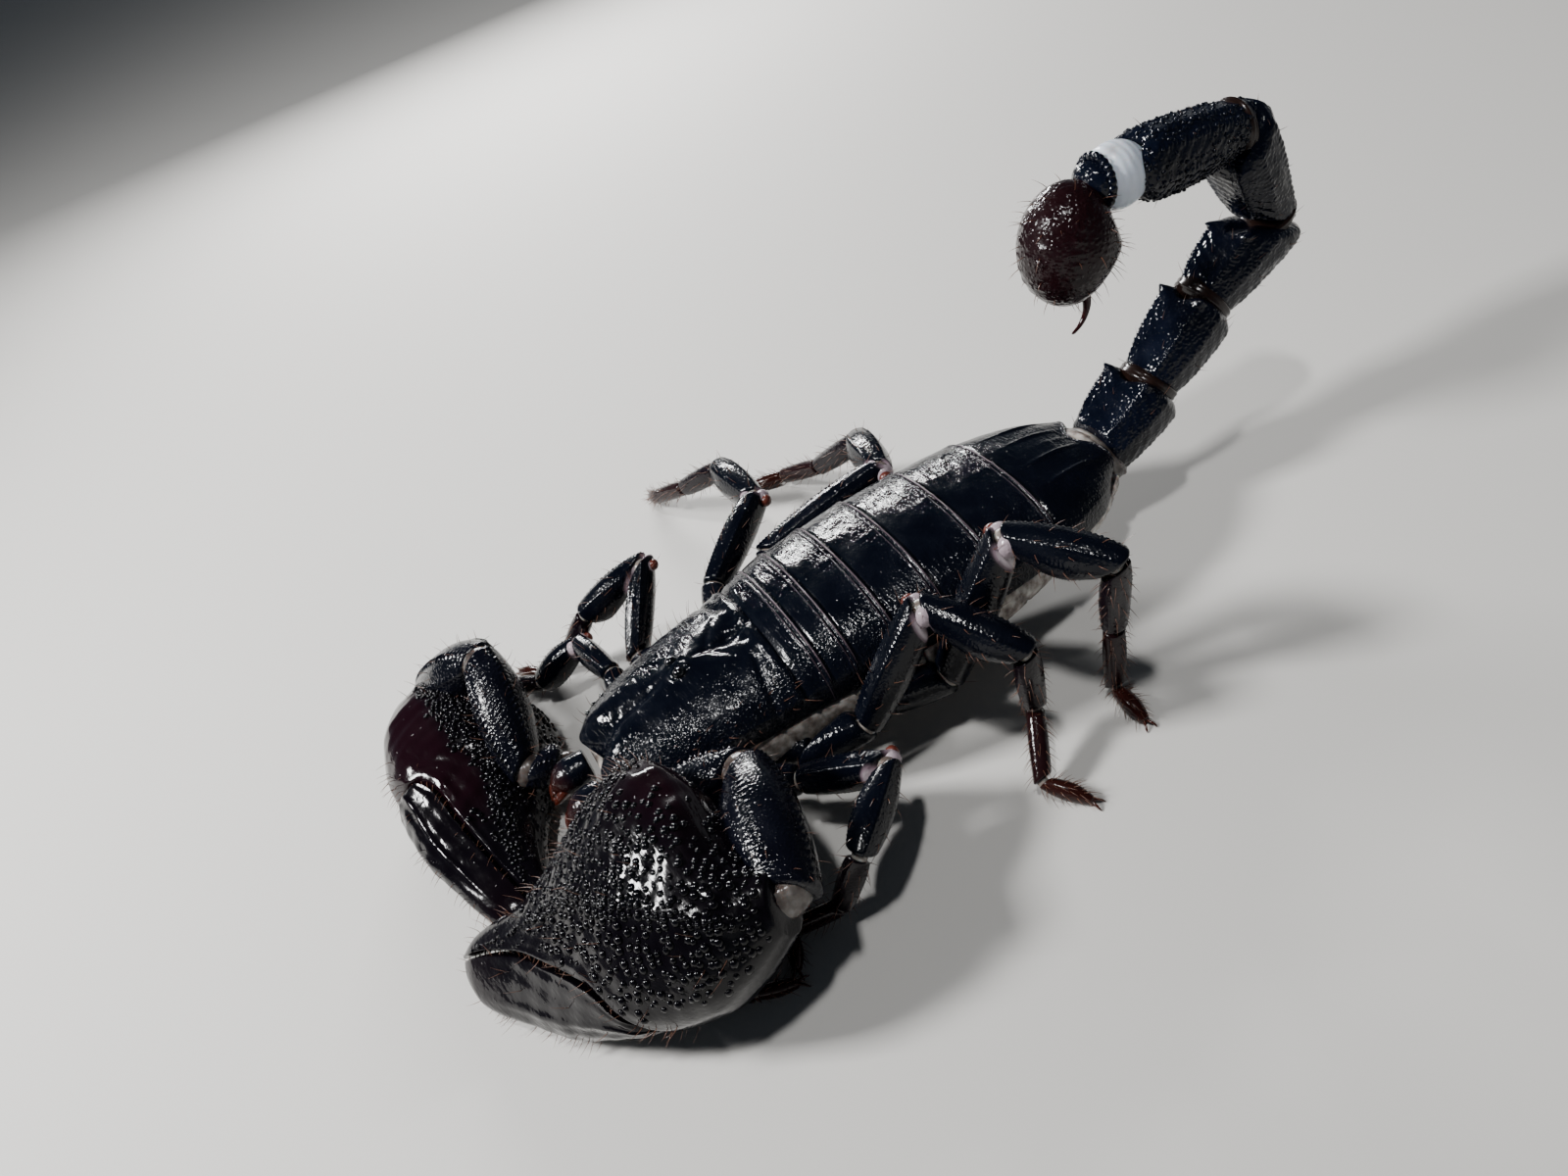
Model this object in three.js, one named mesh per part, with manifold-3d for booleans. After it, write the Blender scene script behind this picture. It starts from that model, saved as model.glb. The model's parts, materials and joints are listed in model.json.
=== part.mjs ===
// Emperor scorpion, life size, standing with its tail raised over its back, as a still display model.
// Millimetres, +Z up. The head looks toward -Y, the animal's own left is +X, and the feet stand on Z = 0.
// Every plate of the shell is a solid of its own, parted from the next one by a thin gap at the joint.
import * as THREE from 'three';
import { mergeVertices } from 'three/addons/utils/BufferGeometryUtils.js';
import Module from 'manifold-3d';

const wasm = await Module();
wasm.setup();

// ---- Driving dimensions ----

const GAP = 0.3; // left between two neighbouring plates
const FOLD = 0.6; // room between a chela and the arm it is folded against, around the arm
const SHEET = 0.6; // thickness of the comb plates under the belly

// The trunk along its length: half width, height of the side edge, height of the back and of the belly.
const TRUNK = {
  y: [0.4, 4, 16, 27, 34, 47, 58, 66, 74, 81],
  half: [7.4, 9.2, 11.9, 13.3, 14.4, 15.0, 14.6, 13.8, 11.6, 7.2],
  edge: [11.2, 11.4, 12.2, 12.8, 13.1, 13.1, 13.0, 12.8, 12.5, 12.2],
  back: [14.2, 16.8, 19.0, 20.0, 21.2, 21.5, 21.0, 20.2, 18.9, 16.8],
  belly: [6.2, 5.6, 4.8, 4.6, 4.6, 4.8, 5.2, 5.8, 6.8, 8.4],
};
const CARAPACE = { front: 0.4, rear: 27.0, notchDepth: 2.6, notchHalf: 2.4 };
const COXAE = { front: 1.0, rear: 42.5, inset: 0.8 };
const BELLY = { front: 42.8, rear: 80.9, inset: 0.9 };
const TERGITE_LENGTHS = [3.5, 3.8, 6.2, 7.1, 8.6, 9.7, 15.0];
const TERGITE_LIP = 0.35; // how far the rear edge of a plate rises over the next one
const TUBERCLE = { y: 16, z: 18.9, size: [1.9, 3.0, 1.5] };
const EYE = { radius: 0.85, across: 1.35, y: 15.6, z: 19.75 };
const CHELICERA = { side: 3.1, y: 0.0, z: 10.4, length: 6.8, half: 2.7, height: 2.6 };
const PECTINE = { root: 2.2, y: 44.4, z: 3.9, length: 11.5, stem: 1.3, tooth: 1.9, teeth: 11, sweep: 24 };

// The tail: joints in the midline plane as lengths and slopes, with the width and height of each ring.
const TAIL_ROOT = [0, 81.3, 12.5];
const TAIL = [
  { name: 'tail_1', length: 12.4, slope: 28, width: 12.6, height: 10.4 },
  { name: 'tail_2', length: 12.9, slope: 36, width: 11.2, height: 10.0 },
  { name: 'tail_3', length: 13.2, slope: 29, width: 10.6, height: 10.4 },
  { name: 'tail_4', length: 15.2, slope: 107, width: 9.8, height: 9.8 },
  { name: 'tail_5', length: 21.6, slope: 171, width: 9.4, height: 9.4 },
];
const VESICLE = { start: 1.2, length: 13.8, width: 12.8, height: 12.8, slope: [205, 300], neck: 2.6, end: 1.3 };
const STING = { length: 7.0, tip: 0.3, slope: [300, 190] };

// The legs: lengths and half thicknesses of the six articles from the hip to the claws, which are
// trochanter, femur, patella, tibia, basitarsus and tarsus. Each leg is three solids.
const LEG_SOLIDS = { femur: [0, 1], patella: [2], tarsus: [3, 4, 5] };
const LEG_PAIRS = [
  { hip: [12.8, 8.5, 7.5], lengths: [5.0, 10.5, 9.5, 7.5, 6.3, 6.0], girth: 0.82 },
  { hip: [13.8, 17.0, 8.0], lengths: [5.5, 13.0, 11.5, 9.0, 7.4, 6.4], girth: 0.9 },
  { hip: [14.4, 25.5, 8.3], lengths: [7.0, 16.5, 13.0, 10.3, 9.0, 7.3], girth: 1.0 },
  { hip: [14.2, 38.0, 8.3], lengths: [6.5, 20.0, 13.2, 12.3, 10.0, 7.3], girth: 1.05 },
];
const LEG_HALF_HEIGHT = [2.5, 2.75, 2.9, 1.75, 1.4, 1.3];
const LEG_HALF_WIDTH = [2.2, 2.2, 2.5, 1.5, 1.25, 1.1];
const FOOT_HEIGHT = 0.3; // of the middle of the last article's end above the floor

// The pose: for each article its bearing (0 straight out sideways, + toward the tail) and its slope.
const LEG_POSES = {
  left_1: [[7, -20], [-18, 0], [-122, -19], [-2, -10], [54, -6], [70]],
  left_2: [[47, 6], [43, 18], [-51, -6], [-110, -61], [-118, -24], [-24]],
  left_3: [[63, 18], [88, 47], [34, -23], [-172, -86], [-36, -32], [33]],
  left_4: [[63, 9], [83, 55], [33, -9], [-178, -79], [-88, -83], [-5]],
  right_1: [[7, 21], [-10, -3], [-69, -30], [-45, -10], [-50, -8], [-55]],
  right_2: [[-41, 13], [41, 33], [-75, -22], [-49, -50], [-60, -31], [-35]],
  right_3: [[24, 20], [54, 10], [-2, -4], [-32, -28], [-25, -25], [-3]],
  right_4: [[0, 21], [98, 14], [13, -12], [-25, -35], [-25, -24], [-58]],
};

// The pedipalps: three arm articles and the chela.
const ARM = {
  root: [7.8, -2.4, 8.4],
  names: ['trochanter', 'femur', 'patella'],
  lengths: [5.2, 17.2, 18.5],
  halfHeight: [2.8, 4.2, 4.7],
  halfWidth: [2.6, 3.9, 4.8],
};
// The bulging inner side of the right palm is a little less full than that of the left one.
const ARM_POSES = {
  left: { articles: [[50, 17], [59, 24], [-11, 0]], chela: [-128, -16], roll: 34, lobe: 1 },
  right: { articles: [[-72, 10], [6, 27], [-34, -31]], chela: [-180, -6], roll: -20, lobe: 0.7 },
};
// Outline of the chela: distances from its axis to the inner edge, the outer edge, the top and the sole.
const CHELA = {
  along: [0, 3, 6, 10, 16.5, 22.5, 30, 37, 44.5, 48.5],
  inner: [3.6, 4.4, 7.5, 14.0, 18.4, 17.0, 10.5, 5.9, 3.6, 1.0],
  outer: [3.4, 6.2, 8.5, 10.5, 11.4, 11.5, 10.9, 8.7, 5.7, 0.9],
  top: [3.4, 5.4, 7.4, 8.5, 8.7, 7.6, 5.4, 3.9, 2.8, 0.8],
  sole: [3.0, 4.3, 5.6, 6.4, 6.5, 5.7, 4.3, 3.3, 2.4, 0.8],
};
// Where the movable finger parts from the palm: from the knuckle on the outer edge along to the tips.
// The left claw has the broader movable finger.
const SEAM = {
  left: [[19.5, -15], [20.5, -8.6], [23.5, -5.2], [30, -2.2], [37, 0.2], [43, 0.9], [49.5, 0.6]],
  right: [[21, -15], [22, -8.2], [25, -6.6], [30, -5.4], [37, -3.4], [43, -1.6], [49.5, 0.2]],
};

// ---- Finishes ----

const finish = (color, roughness) => new THREE.MeshStandardMaterial({ color, roughness, metalness: 0 });
const SHELL = finish(0x14171c, 0.28); // blue black back plates, tail and legs
const CLAW_SHELL = finish(0x1e1014, 0.3); // the dark red brown chelae
const STING_SHELL = finish(0x2c1013, 0.35); // the dark red vesicle and sting
const MEMBRANE = finish(0x6f6a66, 0.5); // soft skin between the plates of the belly
const COMB = finish(0x9a7a5c, 0.45); // the pale brown combs
const LENS = finish(0x050506, 0.1); // eyes

const scorpion = new THREE.Group();

function place(name, geometry, material, side = 1) {
  const mesh = new THREE.Mesh(side < 0 ? mirrored(geometry) : geometry, material);
  mesh.name = name;
  scorpion.add(mesh);
  return mesh;
}

// ---- Shape helpers ----

const radians = THREE.MathUtils.degToRad;
const vector = (a) => new THREE.Vector3(...a);

// Smooth curve through the knots (xs, ys), with no overshoot between them (Fritsch-Carlson slopes).
function through(xs, ys, x) {
  let i = 0;
  while (i < xs.length - 2 && x > xs[i + 1]) i += 1;
  const rise = (k) => (ys[k + 1] - ys[k]) / (xs[k + 1] - xs[k]);
  const tangent = (k) => {
    if (k === 0) return rise(0);
    if (k === xs.length - 1) return rise(k - 1);
    const [a, b] = [rise(k - 1), rise(k)];
    return a * b <= 0 ? 0 : (2 * a * b) / (a + b);
  };
  const h = xs[i + 1] - xs[i];
  const u = THREE.MathUtils.clamp((x - xs[i]) / h, 0, 1);
  const v = 1 - u;
  return v * v * (1 + 2 * u) * ys[i] + u * u * (3 - 2 * u) * ys[i + 1]
    + h * u * v * (v * tangent(i) - u * tangent(i + 1));
}

// Unit vector from a bearing and a slope in degrees, on the animal's left side.
function heading(bearing, slope) {
  const [b, s] = [radians(bearing), radians(slope)];
  return new THREE.Vector3(Math.cos(b) * Math.cos(s), Math.sin(b) * Math.cos(s), Math.sin(s));
}

const power = (value, exponent) => Math.sign(value) * Math.abs(value) ** exponent;

// A closed solid from a capped cylinder: locate(across, up, t) gives the place of each of its points,
// where (across, up) lies on the unit circle, or at its middle on the caps, and t runs from 0 to 1.
function loft(around, along, locate) {
  const geometry = new THREE.CylinderGeometry(1, 1, 1, around, along);
  const p = geometry.attributes.position;
  for (let i = 0; i < p.count; i += 1) {
    const spot = locate(p.getX(i), p.getZ(i), p.getY(i) + 0.5);
    p.setXYZ(i, spot.x, spot.y, spot.z);
  }
  return welded(geometry);
}

function welded(geometry) {
  geometry.deleteAttribute('normal');
  geometry.deleteAttribute('uv');
  return mergeVertices(geometry, 1e-4);
}

function mirrored(geometry) {
  const copy = geometry.clone().scale(-1, 1, 1);
  const index = copy.index.array;
  for (let i = 0; i < index.length; i += 3) [index[i], index[i + 1]] = [index[i + 1], index[i]];
  return copy;
}

const toSolid = (geometry) => new wasm.Manifold(new wasm.Mesh({
  numProp: 3,
  vertProperties: new Float32Array(geometry.attributes.position.array),
  triVerts: new Uint32Array(geometry.index.array),
}));

function toGeometry(solid) {
  const mesh = solid.getMesh();
  const geometry = new THREE.BufferGeometry();
  geometry.setAttribute('position', new THREE.BufferAttribute(mesh.vertProperties, 3));
  geometry.setIndex(new THREE.BufferAttribute(mesh.triVerts, 1));
  return geometry;
}

const ball = (radii, centre, wide = 12, high = 7) => welded(new THREE.SphereGeometry(1, wide, high))
  .scale(...radii).translate(...centre);

// One article of a limb from a to b. Its ends are cut square to the directions near and far, by
// default half a gap short of the joints, and swell(t) gives its share of the full half width and height.
function article({
  a, b, up, near, far, nearGap = GAP / 2, farGap = GAP / 2,
  halfWidth, halfHeight, swell, around, along, floor = false,
}) {
  const axis = b.clone().sub(a);
  const length = axis.length();
  axis.normalize();
  const side = axis.clone().cross(up).normalize();
  const top = side.clone().cross(axis);
  const [nearCut, farCut] = [near.dot(axis), far.dot(axis)];
  return loft(around, along, (across, high, t) => {
    const [w, h] = swell(t);
    const offset = side.clone().multiplyScalar(power(across, 0.9) * halfWidth * w)
      .addScaledVector(top, power(high, 0.9) * halfHeight * h);
    const start = (nearGap - offset.dot(near)) / nearCut;
    const end = length - (farGap + offset.dot(far)) / farCut;
    const spot = a.clone().add(offset).addScaledVector(axis, start + (end - start) * t);
    if (floor) spot.z = Math.max(spot.z, 0);
    return spot;
  });
}

// Direction halfway between two articles, where the joint between them is cut.
const mitre = (from, to) => from.clone().add(to).normalize();

// The same for the end of an article that the next one folds back against: nearly square, so it stays blunt.
const blunt = (from, to) => from.clone().multiplyScalar(2.2).add(to).normalize();

// ---- Trunk ----

const trunk = (key, y) => through(TRUNK.y, TRUNK[key], y);

// Point of the domed back at y, for a point (across, up) of the unit circle; the lower half lies flat.
function backPoint(across, up, y, raise = 0) {
  const edge = trunk('edge', y) + GAP / 2;
  const dome = (trunk('back', y) + raise - edge) * Math.max(0, up) ** 0.85;
  return new THREE.Vector3(power(across, 0.9) * trunk('half', y), y, edge + dome);
}

// The same for the underside: the upper half lies flat below the edge of the back.
function underPoint(across, up, y, inset) {
  const edge = trunk('edge', y) - GAP / 2;
  const hull = (edge - trunk('belly', y)) * Math.max(0, -up) ** 0.7;
  return new THREE.Vector3(power(across, 0.8) * (trunk('half', y) - inset), y, edge - hull);
}

function carapace() {
  const { front, rear, notchDepth, notchHalf } = CARAPACE;
  const shield = loft(24, 8, (across, up, t) => {
    const at = front + (rear - GAP / 2 - front) * t;
    const spot = backPoint(across, up, at);
    const notch = notchDepth * Math.exp(-((spot.x / notchHalf) ** 2)) * (1 - t) ** 4;
    const corner = 3.2 * (Math.abs(across) ** 6) * (1 - t) ** 6; // rounds the front corners
    spot.y += notch + corner;
    return spot;
  });
  let solid = toSolid(shield).add(toSolid(ball(TUBERCLE.size, [0, TUBERCLE.y, TUBERCLE.z])));
  for (const side of [-1, 1]) {
    const socket = ball([1, 1, 1].map(() => EYE.radius + GAP), [side * EYE.across, EYE.y, EYE.z]);
    solid = solid.subtract(toSolid(socket));
  }
  return toGeometry(solid);
}

function tergites() {
  let front = CARAPACE.rear;
  TERGITE_LENGTHS.forEach((length, i) => {
    const [first, last] = [front + GAP / 2, front + length - GAP / 2];
    const rings = i === TERGITE_LENGTHS.length - 1 ? 5 : 2;
    const plate = loft(16, rings, (across, up, t) => {
      const lip = TERGITE_LIP * (t - 0.4);
      return backPoint(across, up, first + (last - first) * t, lip);
    });
    place(`tergite_${i + 1}`, plate, SHELL);
    front += length;
  });
}

const underside = ({ front, rear, inset }, around, rings) => loft(around, rings, (across, up, t) => (
  underPoint(across, up, front + (rear - front) * t, inset)));

// Comb plate: a stem with a row of teeth along its rear edge, swept back from the midline.
function pectine() {
  const { length, stem, tooth, teeth } = PECTINE;
  const outline = new THREE.Shape();
  outline.moveTo(0, 0);
  outline.lineTo(length, 0.2);
  const pitch = length / teeth;
  for (let i = teeth - 1; i >= 0; i -= 1) {
    outline.lineTo((i + 0.92) * pitch, stem + tooth * (1 - 0.3 * (i / teeth)));
    outline.lineTo((i + 0.3) * pitch, stem + tooth * (1 - 0.3 * (i / teeth)));
    outline.lineTo((i + 0.05) * pitch, stem);
  }
  outline.closePath();
  const plate = new THREE.ExtrudeGeometry(outline, { depth: SHEET, bevelEnabled: false });
  plate.rotateZ(radians(PECTINE.sweep)).translate(PECTINE.root, PECTINE.y, PECTINE.z - SHEET);
  return welded(plate);
}

function chelicera() {
  const { side, y, z, length, half, height } = CHELICERA;
  return loft(12, 7, (across, up, t) => {
    const girth = Math.sqrt(Math.max(0.02, 1 - Math.max(0, (t - 0.55) / 0.47) ** 2));
    const drop = 1.6 * t * t;
    return new THREE.Vector3(side + across * half * girth, y - length * t, z - drop - up * height * girth);
  });
}

place('carapace', carapace(), SHELL);
tergites();
place('coxae_and_sternum', underside(COXAE, 16, 6), SHELL);
place('belly', underside(BELLY, 16, 6), MEMBRANE);
for (const [side, label] of [[1, 'left'], [-1, 'right']]) {
  place(`eye_${label}`, ball([1, 1, 1].map(() => EYE.radius), [EYE.across, EYE.y, EYE.z]), LENS, side);
  place(`chelicera_${label}`, chelicera(), SHELL, side);
  place(`comb_${label}`, pectine(), COMB, side);
}

// ---- Tail ----

const forward = (slope) => new THREE.Vector3(0, Math.cos(radians(slope)), Math.sin(radians(slope)));

// Each ring of the tail swells toward its far end.
function tail() {
  const headings = [...TAIL.map((ring) => forward(ring.slope)), forward(VESICLE.slope[0])];
  let joint = vector(TAIL_ROOT);
  TAIL.forEach((ring, i) => {
    const next = joint.clone().addScaledVector(headings[i], ring.length);
    const dorsal = new THREE.Vector3(1, 0, 0).cross(headings[i]);
    const near = i === 0 ? new THREE.Vector3(0, 1, 0) : mitre(headings[i - 1], headings[i]);
    place(ring.name, article({
      a: joint,
      b: next,
      up: dorsal,
      near,
      far: mitre(headings[i], headings[i + 1]),
      halfWidth: ring.width / 2,
      halfHeight: ring.height / 2,
      swell: (t) => {
        const waist = 0.78 + 0.22 * Math.sin(Math.min(1, t * 1.25) * Math.PI / 2);
        const end = t > 0.86 ? 1 - 0.24 * ((t - 0.86) / 0.14) ** 2 : 1;
        return [waist * end, waist * end];
      },
      around: 14,
      along: 6,
    }), SHELL);
    joint = next;
  });
  return { joint, before: headings[TAIL.length - 1] };
}

// The bulb and the sting are two lofts along curves in the midline plane that turn steadily.
function telson({ joint, before }) {
  const right = new THREE.Vector3(1, 0, 0);
  const bent = (start, { length, slope: [from, to] }, radius, around, steps) => {
    const spine = [start];
    for (let i = 0; i < steps; i += 1) {
      const way = forward(from + (to - from) * ((i + 0.5) / steps));
      spine.push(spine[i].clone().addScaledVector(way, length / steps));
    }
    const shape = loft(around, steps, (across, high, t) => {
      const top = right.clone().cross(forward(from + (to - from) * t));
      const [w, h] = radius(t);
      return spine[Math.round(t * steps)].clone().addScaledVector(right, across * w)
        .addScaledVector(top, high * h);
    });
    return { shape, end: spine.at(-1) };
  };
  const axis = forward(VESICLE.slope[0]);
  const bulb = bent(joint.clone().addScaledVector(axis, VESICLE.start), VESICLE, (t) => {
    const s = Math.sqrt(Math.max(0, 1 - ((t - 0.5) / 0.51) ** 2));
    const least = t < 0.5 ? VESICLE.neck : VESICLE.end;
    return [Math.max(least, s * VESICLE.width / 2), Math.max(least, s * VESICLE.height / 2)];
  }, 14, 10);
  place('vesicle', bulb.shape, STING_SHELL);
  const root = bulb.end.clone().addScaledVector(forward(VESICLE.slope[1]), GAP);
  const spike = bent(root, STING, (t) => {
    const r = VESICLE.end + (STING.tip - VESICLE.end) * t ** 0.6;
    return [r, r];
  }, 8, 6);
  place('sting', spike.shape, STING_SHELL);
}

telson(tail());

// ---- Legs ----

// Shares of the full girth along an article: a narrow start, the widest place and the far end.
const bulge = (start, widest, end) => (t) => {
  const s = t < widest ? start + (1 - start) * Math.sin((t / widest) * Math.PI / 2)
    : end + (1 - end) * Math.cos(((t - widest) / (1 - widest)) * Math.PI / 2);
  return [s, s];
};
const LEG_SWELL = [
  bulge(0.9, 0.5, 0.85), bulge(0.78, 0.6, 0.84), bulge(0.66, 0.58, 0.74),
  bulge(0.86, 0.35, 0.85), bulge(0.9, 0.4, 0.9), bulge(0.7, 0.45, 0.5),
];

const joinsNext = (i) => Object.values(LEG_SOLIDS)
  .some((parts) => parts.includes(i) && parts.includes(i + 1));

function leg(label, pose, pair, side) {
  const joints = [vector(pair.hip)];
  const headings = pose.map(([bearing, slope], i) => {
    const here = joints[i];
    const down = slope ?? -THREE.MathUtils.radToDeg(Math.asin((here.z - FOOT_HEIGHT) / pair.lengths[i]));
    const way = heading(bearing, down);
    joints.push(here.clone().addScaledVector(way, pair.lengths[i]));
    return way;
  });
  const solids = headings.map((way, i) => {
    const near = i === 0 ? new THREE.Vector3(1, 0, 0) : mitre(headings[i - 1], way);
    const far = i === headings.length - 1 ? way : mitre(way, headings[i + 1]);
    const upright = new THREE.Vector3(0, 0, 1);
    const up = Math.abs(way.z) > 0.9 ? headings[1].clone().setZ(0) : upright;
    return article({
      a: joints[i],
      b: joints[i + 1],
      up,
      near,
      far,
      nearGap: GAP / 2 * (joinsNext(i - 1) ? -1 : 1),
      farGap: GAP / 2 * (joinsNext(i) ? -1 : 1),
      halfWidth: LEG_HALF_WIDTH[i] * pair.girth,
      halfHeight: LEG_HALF_HEIGHT[i] * pair.girth,
      swell: LEG_SWELL[i],
      around: i < 3 ? 8 : 7,
      along: [1, 4, 4, 2, 2, 2][i],
      floor: i > 1,
    });
  });
  for (const [name, parts] of Object.entries(LEG_SOLIDS)) {
    const joined = parts.map((i) => toSolid(solids[i])).reduce((sum, solid) => sum.add(solid));
    place(`leg_${label}_${name}`, toGeometry(joined), SHELL, side);
  }
}

for (const [label, pose] of Object.entries(LEG_POSES)) {
  leg(label, pose, LEG_PAIRS[Number(label.at(-1)) - 1], label.startsWith('left') ? 1 : -1);
}

// ---- Pedipalps ----

// The chela in two pieces; clear holds the folded arm with its gap, which the palm must leave free.
function chela(frame, clear) {
  const at = (key, s) => through(CHELA.along, CHELA[key], s) * (key === 'inner' ? frame.lobe : 1);
  const last = CHELA.along.at(-1);
  const toPlace = (s, inward, high) => {
    const spot = frame.origin.clone().addScaledVector(frame.axis, s)
      .addScaledVector(frame.inner, inward).addScaledVector(frame.top, high);
    return spot.setZ(Math.max(spot.z, 0)); // flat where it rests on the floor
  };
  let whole = toSolid(loft(16, 12, (across, up, t) => {
    const s = GAP / 2 + (last - GAP / 2) * t;
    const inward = power(across, 0.9) * at(across > 0 ? 'inner' : 'outer', s);
    const high = power(up, 0.9) * at(up > 0 ? 'top' : 'sole', s);
    return toPlace(s, inward, high);
  }));
  for (const solid of clear) whole = whole.subtract(solid);
  const far = 30;
  const wedge = (shift) => {
    const seam = frame.seam.map(([s, t]) => new THREE.Vector2(s - shift, t + shift));
    const outline = new THREE.Shape([...seam, new THREE.Vector2(far * 2, far / 8),
      new THREE.Vector2(far * 2, -far), new THREE.Vector2(frame.seam[0][0] - shift, -far)]);
    const prism = new THREE.ExtrudeGeometry(outline, { depth: far, bevelEnabled: false });
    prism.translate(0, 0, -far / 2);
    const basis = new THREE.Matrix4()
      .makeBasis(frame.axis, frame.inner, frame.axis.clone().cross(frame.inner))
      .setPosition(frame.origin);
    return toSolid(welded(prism).applyMatrix4(basis));
  };
  return [whole.subtract(wedge(GAP / 2)), whole.intersect(wedge(-GAP / 2))].map(toGeometry);
}

function arm(label, pose, side) {
  const headings = [...pose.articles, pose.chela].map(([bearing, slope]) => heading(bearing, slope));
  let joint = vector(ARM.root);
  const clear = [];
  ARM.names.forEach((name, i) => {
    const next = joint.clone().addScaledVector(headings[i], ARM.lengths[i]);
    const shape = {
      a: joint,
      b: next,
      up: new THREE.Vector3(0, 0, 1),
      near: i === 0 ? headings[0] : mitre(headings[i - 1], headings[i]),
      far: (i === 2 ? blunt : mitre)(headings[i], headings[i + 1]),
      swell: [bulge(0.8, 0.5, 0.8), bulge(0.62, 0.55, 0.72), bulge(0.6, 0.45, 0.7)][i],
      around: 12,
      along: i === 0 ? 3 : 5,
    };
    const [halfWidth, halfHeight] = [ARM.halfWidth[i], ARM.halfHeight[i]];
    place(`pedipalp_${label}_${name}`, article({ ...shape, halfWidth, halfHeight }), SHELL, side);
    const room = { nearGap: -GAP / 2, farGap: -GAP / 2, halfWidth: halfWidth + FOLD, halfHeight: halfHeight + FOLD };
    clear.push(toSolid(article({ ...shape, ...room })));
    joint = next;
  });
  const axis = headings.at(-1);
  // sideways to the axis, toward the midline of the animal, then turned up by the roll
  const level = new THREE.Vector3(axis.y, -axis.x, 0).normalize();
  const upright = level.clone().cross(axis);
  const roll = radians(pose.roll);
  const inner = level.clone().multiplyScalar(Math.cos(roll)).addScaledVector(upright, Math.sin(roll));
  const top = inner.clone().cross(axis);
  const [palm, finger] = chela({ origin: joint, axis, inner, top, lobe: pose.lobe, seam: SEAM[label] }, clear);
  place(`pedipalp_${label}_palm`, palm, CLAW_SHELL, side);
  place(`pedipalp_${label}_finger`, finger, CLAW_SHELL, side);
}

arm('left', ARM_POSES.left, 1);
arm('right', ARM_POSES.right, -1);

// ---- Set the model on the floor, centred over its reference point ----

const box = new THREE.Box3().setFromObject(scorpion);
scorpion.position.set(-(box.min.x + box.max.x) / 2, -(box.min.y + box.max.y) / 2, -box.min.z);

export default scorpion;
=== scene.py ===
# %% [markdown]
# # A large black forest scorpion, life size
# The animal stands with both claws folded in front of its head and its tail raised over its back.
# A scorpion wears its skeleton outside: hard plates and tubes of cuticle, joined by soft skin. So each
# plate here is one closed surface, and the soft skin is a separate, smaller surface inside each joint.
# One could sculpt such an animal by hand. Here each plate is a formula instead, because the same few
# formulas, with other numbers, give all the plates, tubes and claws, and any of them is easily changed.

# %% Load the solids
import json
import bpy
import numpy as np
from mathutils import Matrix, Vector

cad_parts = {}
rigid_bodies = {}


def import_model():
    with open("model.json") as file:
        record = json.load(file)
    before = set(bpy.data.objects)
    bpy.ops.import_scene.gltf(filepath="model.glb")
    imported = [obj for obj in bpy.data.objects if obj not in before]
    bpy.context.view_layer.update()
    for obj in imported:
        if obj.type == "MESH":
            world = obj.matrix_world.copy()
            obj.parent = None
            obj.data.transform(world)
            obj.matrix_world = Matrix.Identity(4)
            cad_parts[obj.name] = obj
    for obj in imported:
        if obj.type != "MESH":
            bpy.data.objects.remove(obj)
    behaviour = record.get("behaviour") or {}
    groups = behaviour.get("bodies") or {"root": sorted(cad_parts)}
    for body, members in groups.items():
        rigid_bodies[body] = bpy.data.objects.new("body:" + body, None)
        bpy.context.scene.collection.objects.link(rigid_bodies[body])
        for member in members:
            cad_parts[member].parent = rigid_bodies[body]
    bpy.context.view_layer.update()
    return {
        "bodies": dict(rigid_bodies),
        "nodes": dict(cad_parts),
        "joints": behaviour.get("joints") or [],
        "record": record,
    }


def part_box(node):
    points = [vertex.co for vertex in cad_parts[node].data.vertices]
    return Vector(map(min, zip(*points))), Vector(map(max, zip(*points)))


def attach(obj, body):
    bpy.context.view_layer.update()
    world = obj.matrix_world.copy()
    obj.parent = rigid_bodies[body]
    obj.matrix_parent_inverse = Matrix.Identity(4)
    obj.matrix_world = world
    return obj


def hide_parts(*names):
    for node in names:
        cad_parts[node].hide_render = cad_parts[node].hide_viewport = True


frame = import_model()
MM = 0.001
# The head shield reaches from SHIELD_FRONT to SHIELD_REAR, in mm behind the animal's own origin, which is
# the middle of the front of its head, on the floor.
SHIELD_FRONT, SHIELD_REAR = 0.4, 26.85
low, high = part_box("carapace")
ORIGIN = np.array([(low.x + high.x) / 2 / MM, high.y / MM - SHIELD_REAR, 0.0])
print("solids:", len(frame["nodes"]), "own origin in mm:", ORIGIN.round(2))

# %% [markdown]
# ## Curves and directions
# All shapes are worked out in millimetres in the animal's own frame: head toward -Y, its left side at +X.
# A curve through a few named widths could be a spline from a library, but most splines overshoot between
# their knots and would put dents into a plate. This one never does. Ramps, humps and quarter circles are
# the other bricks: every keel, furrow, rim and rounded edge below is made of them.

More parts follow.
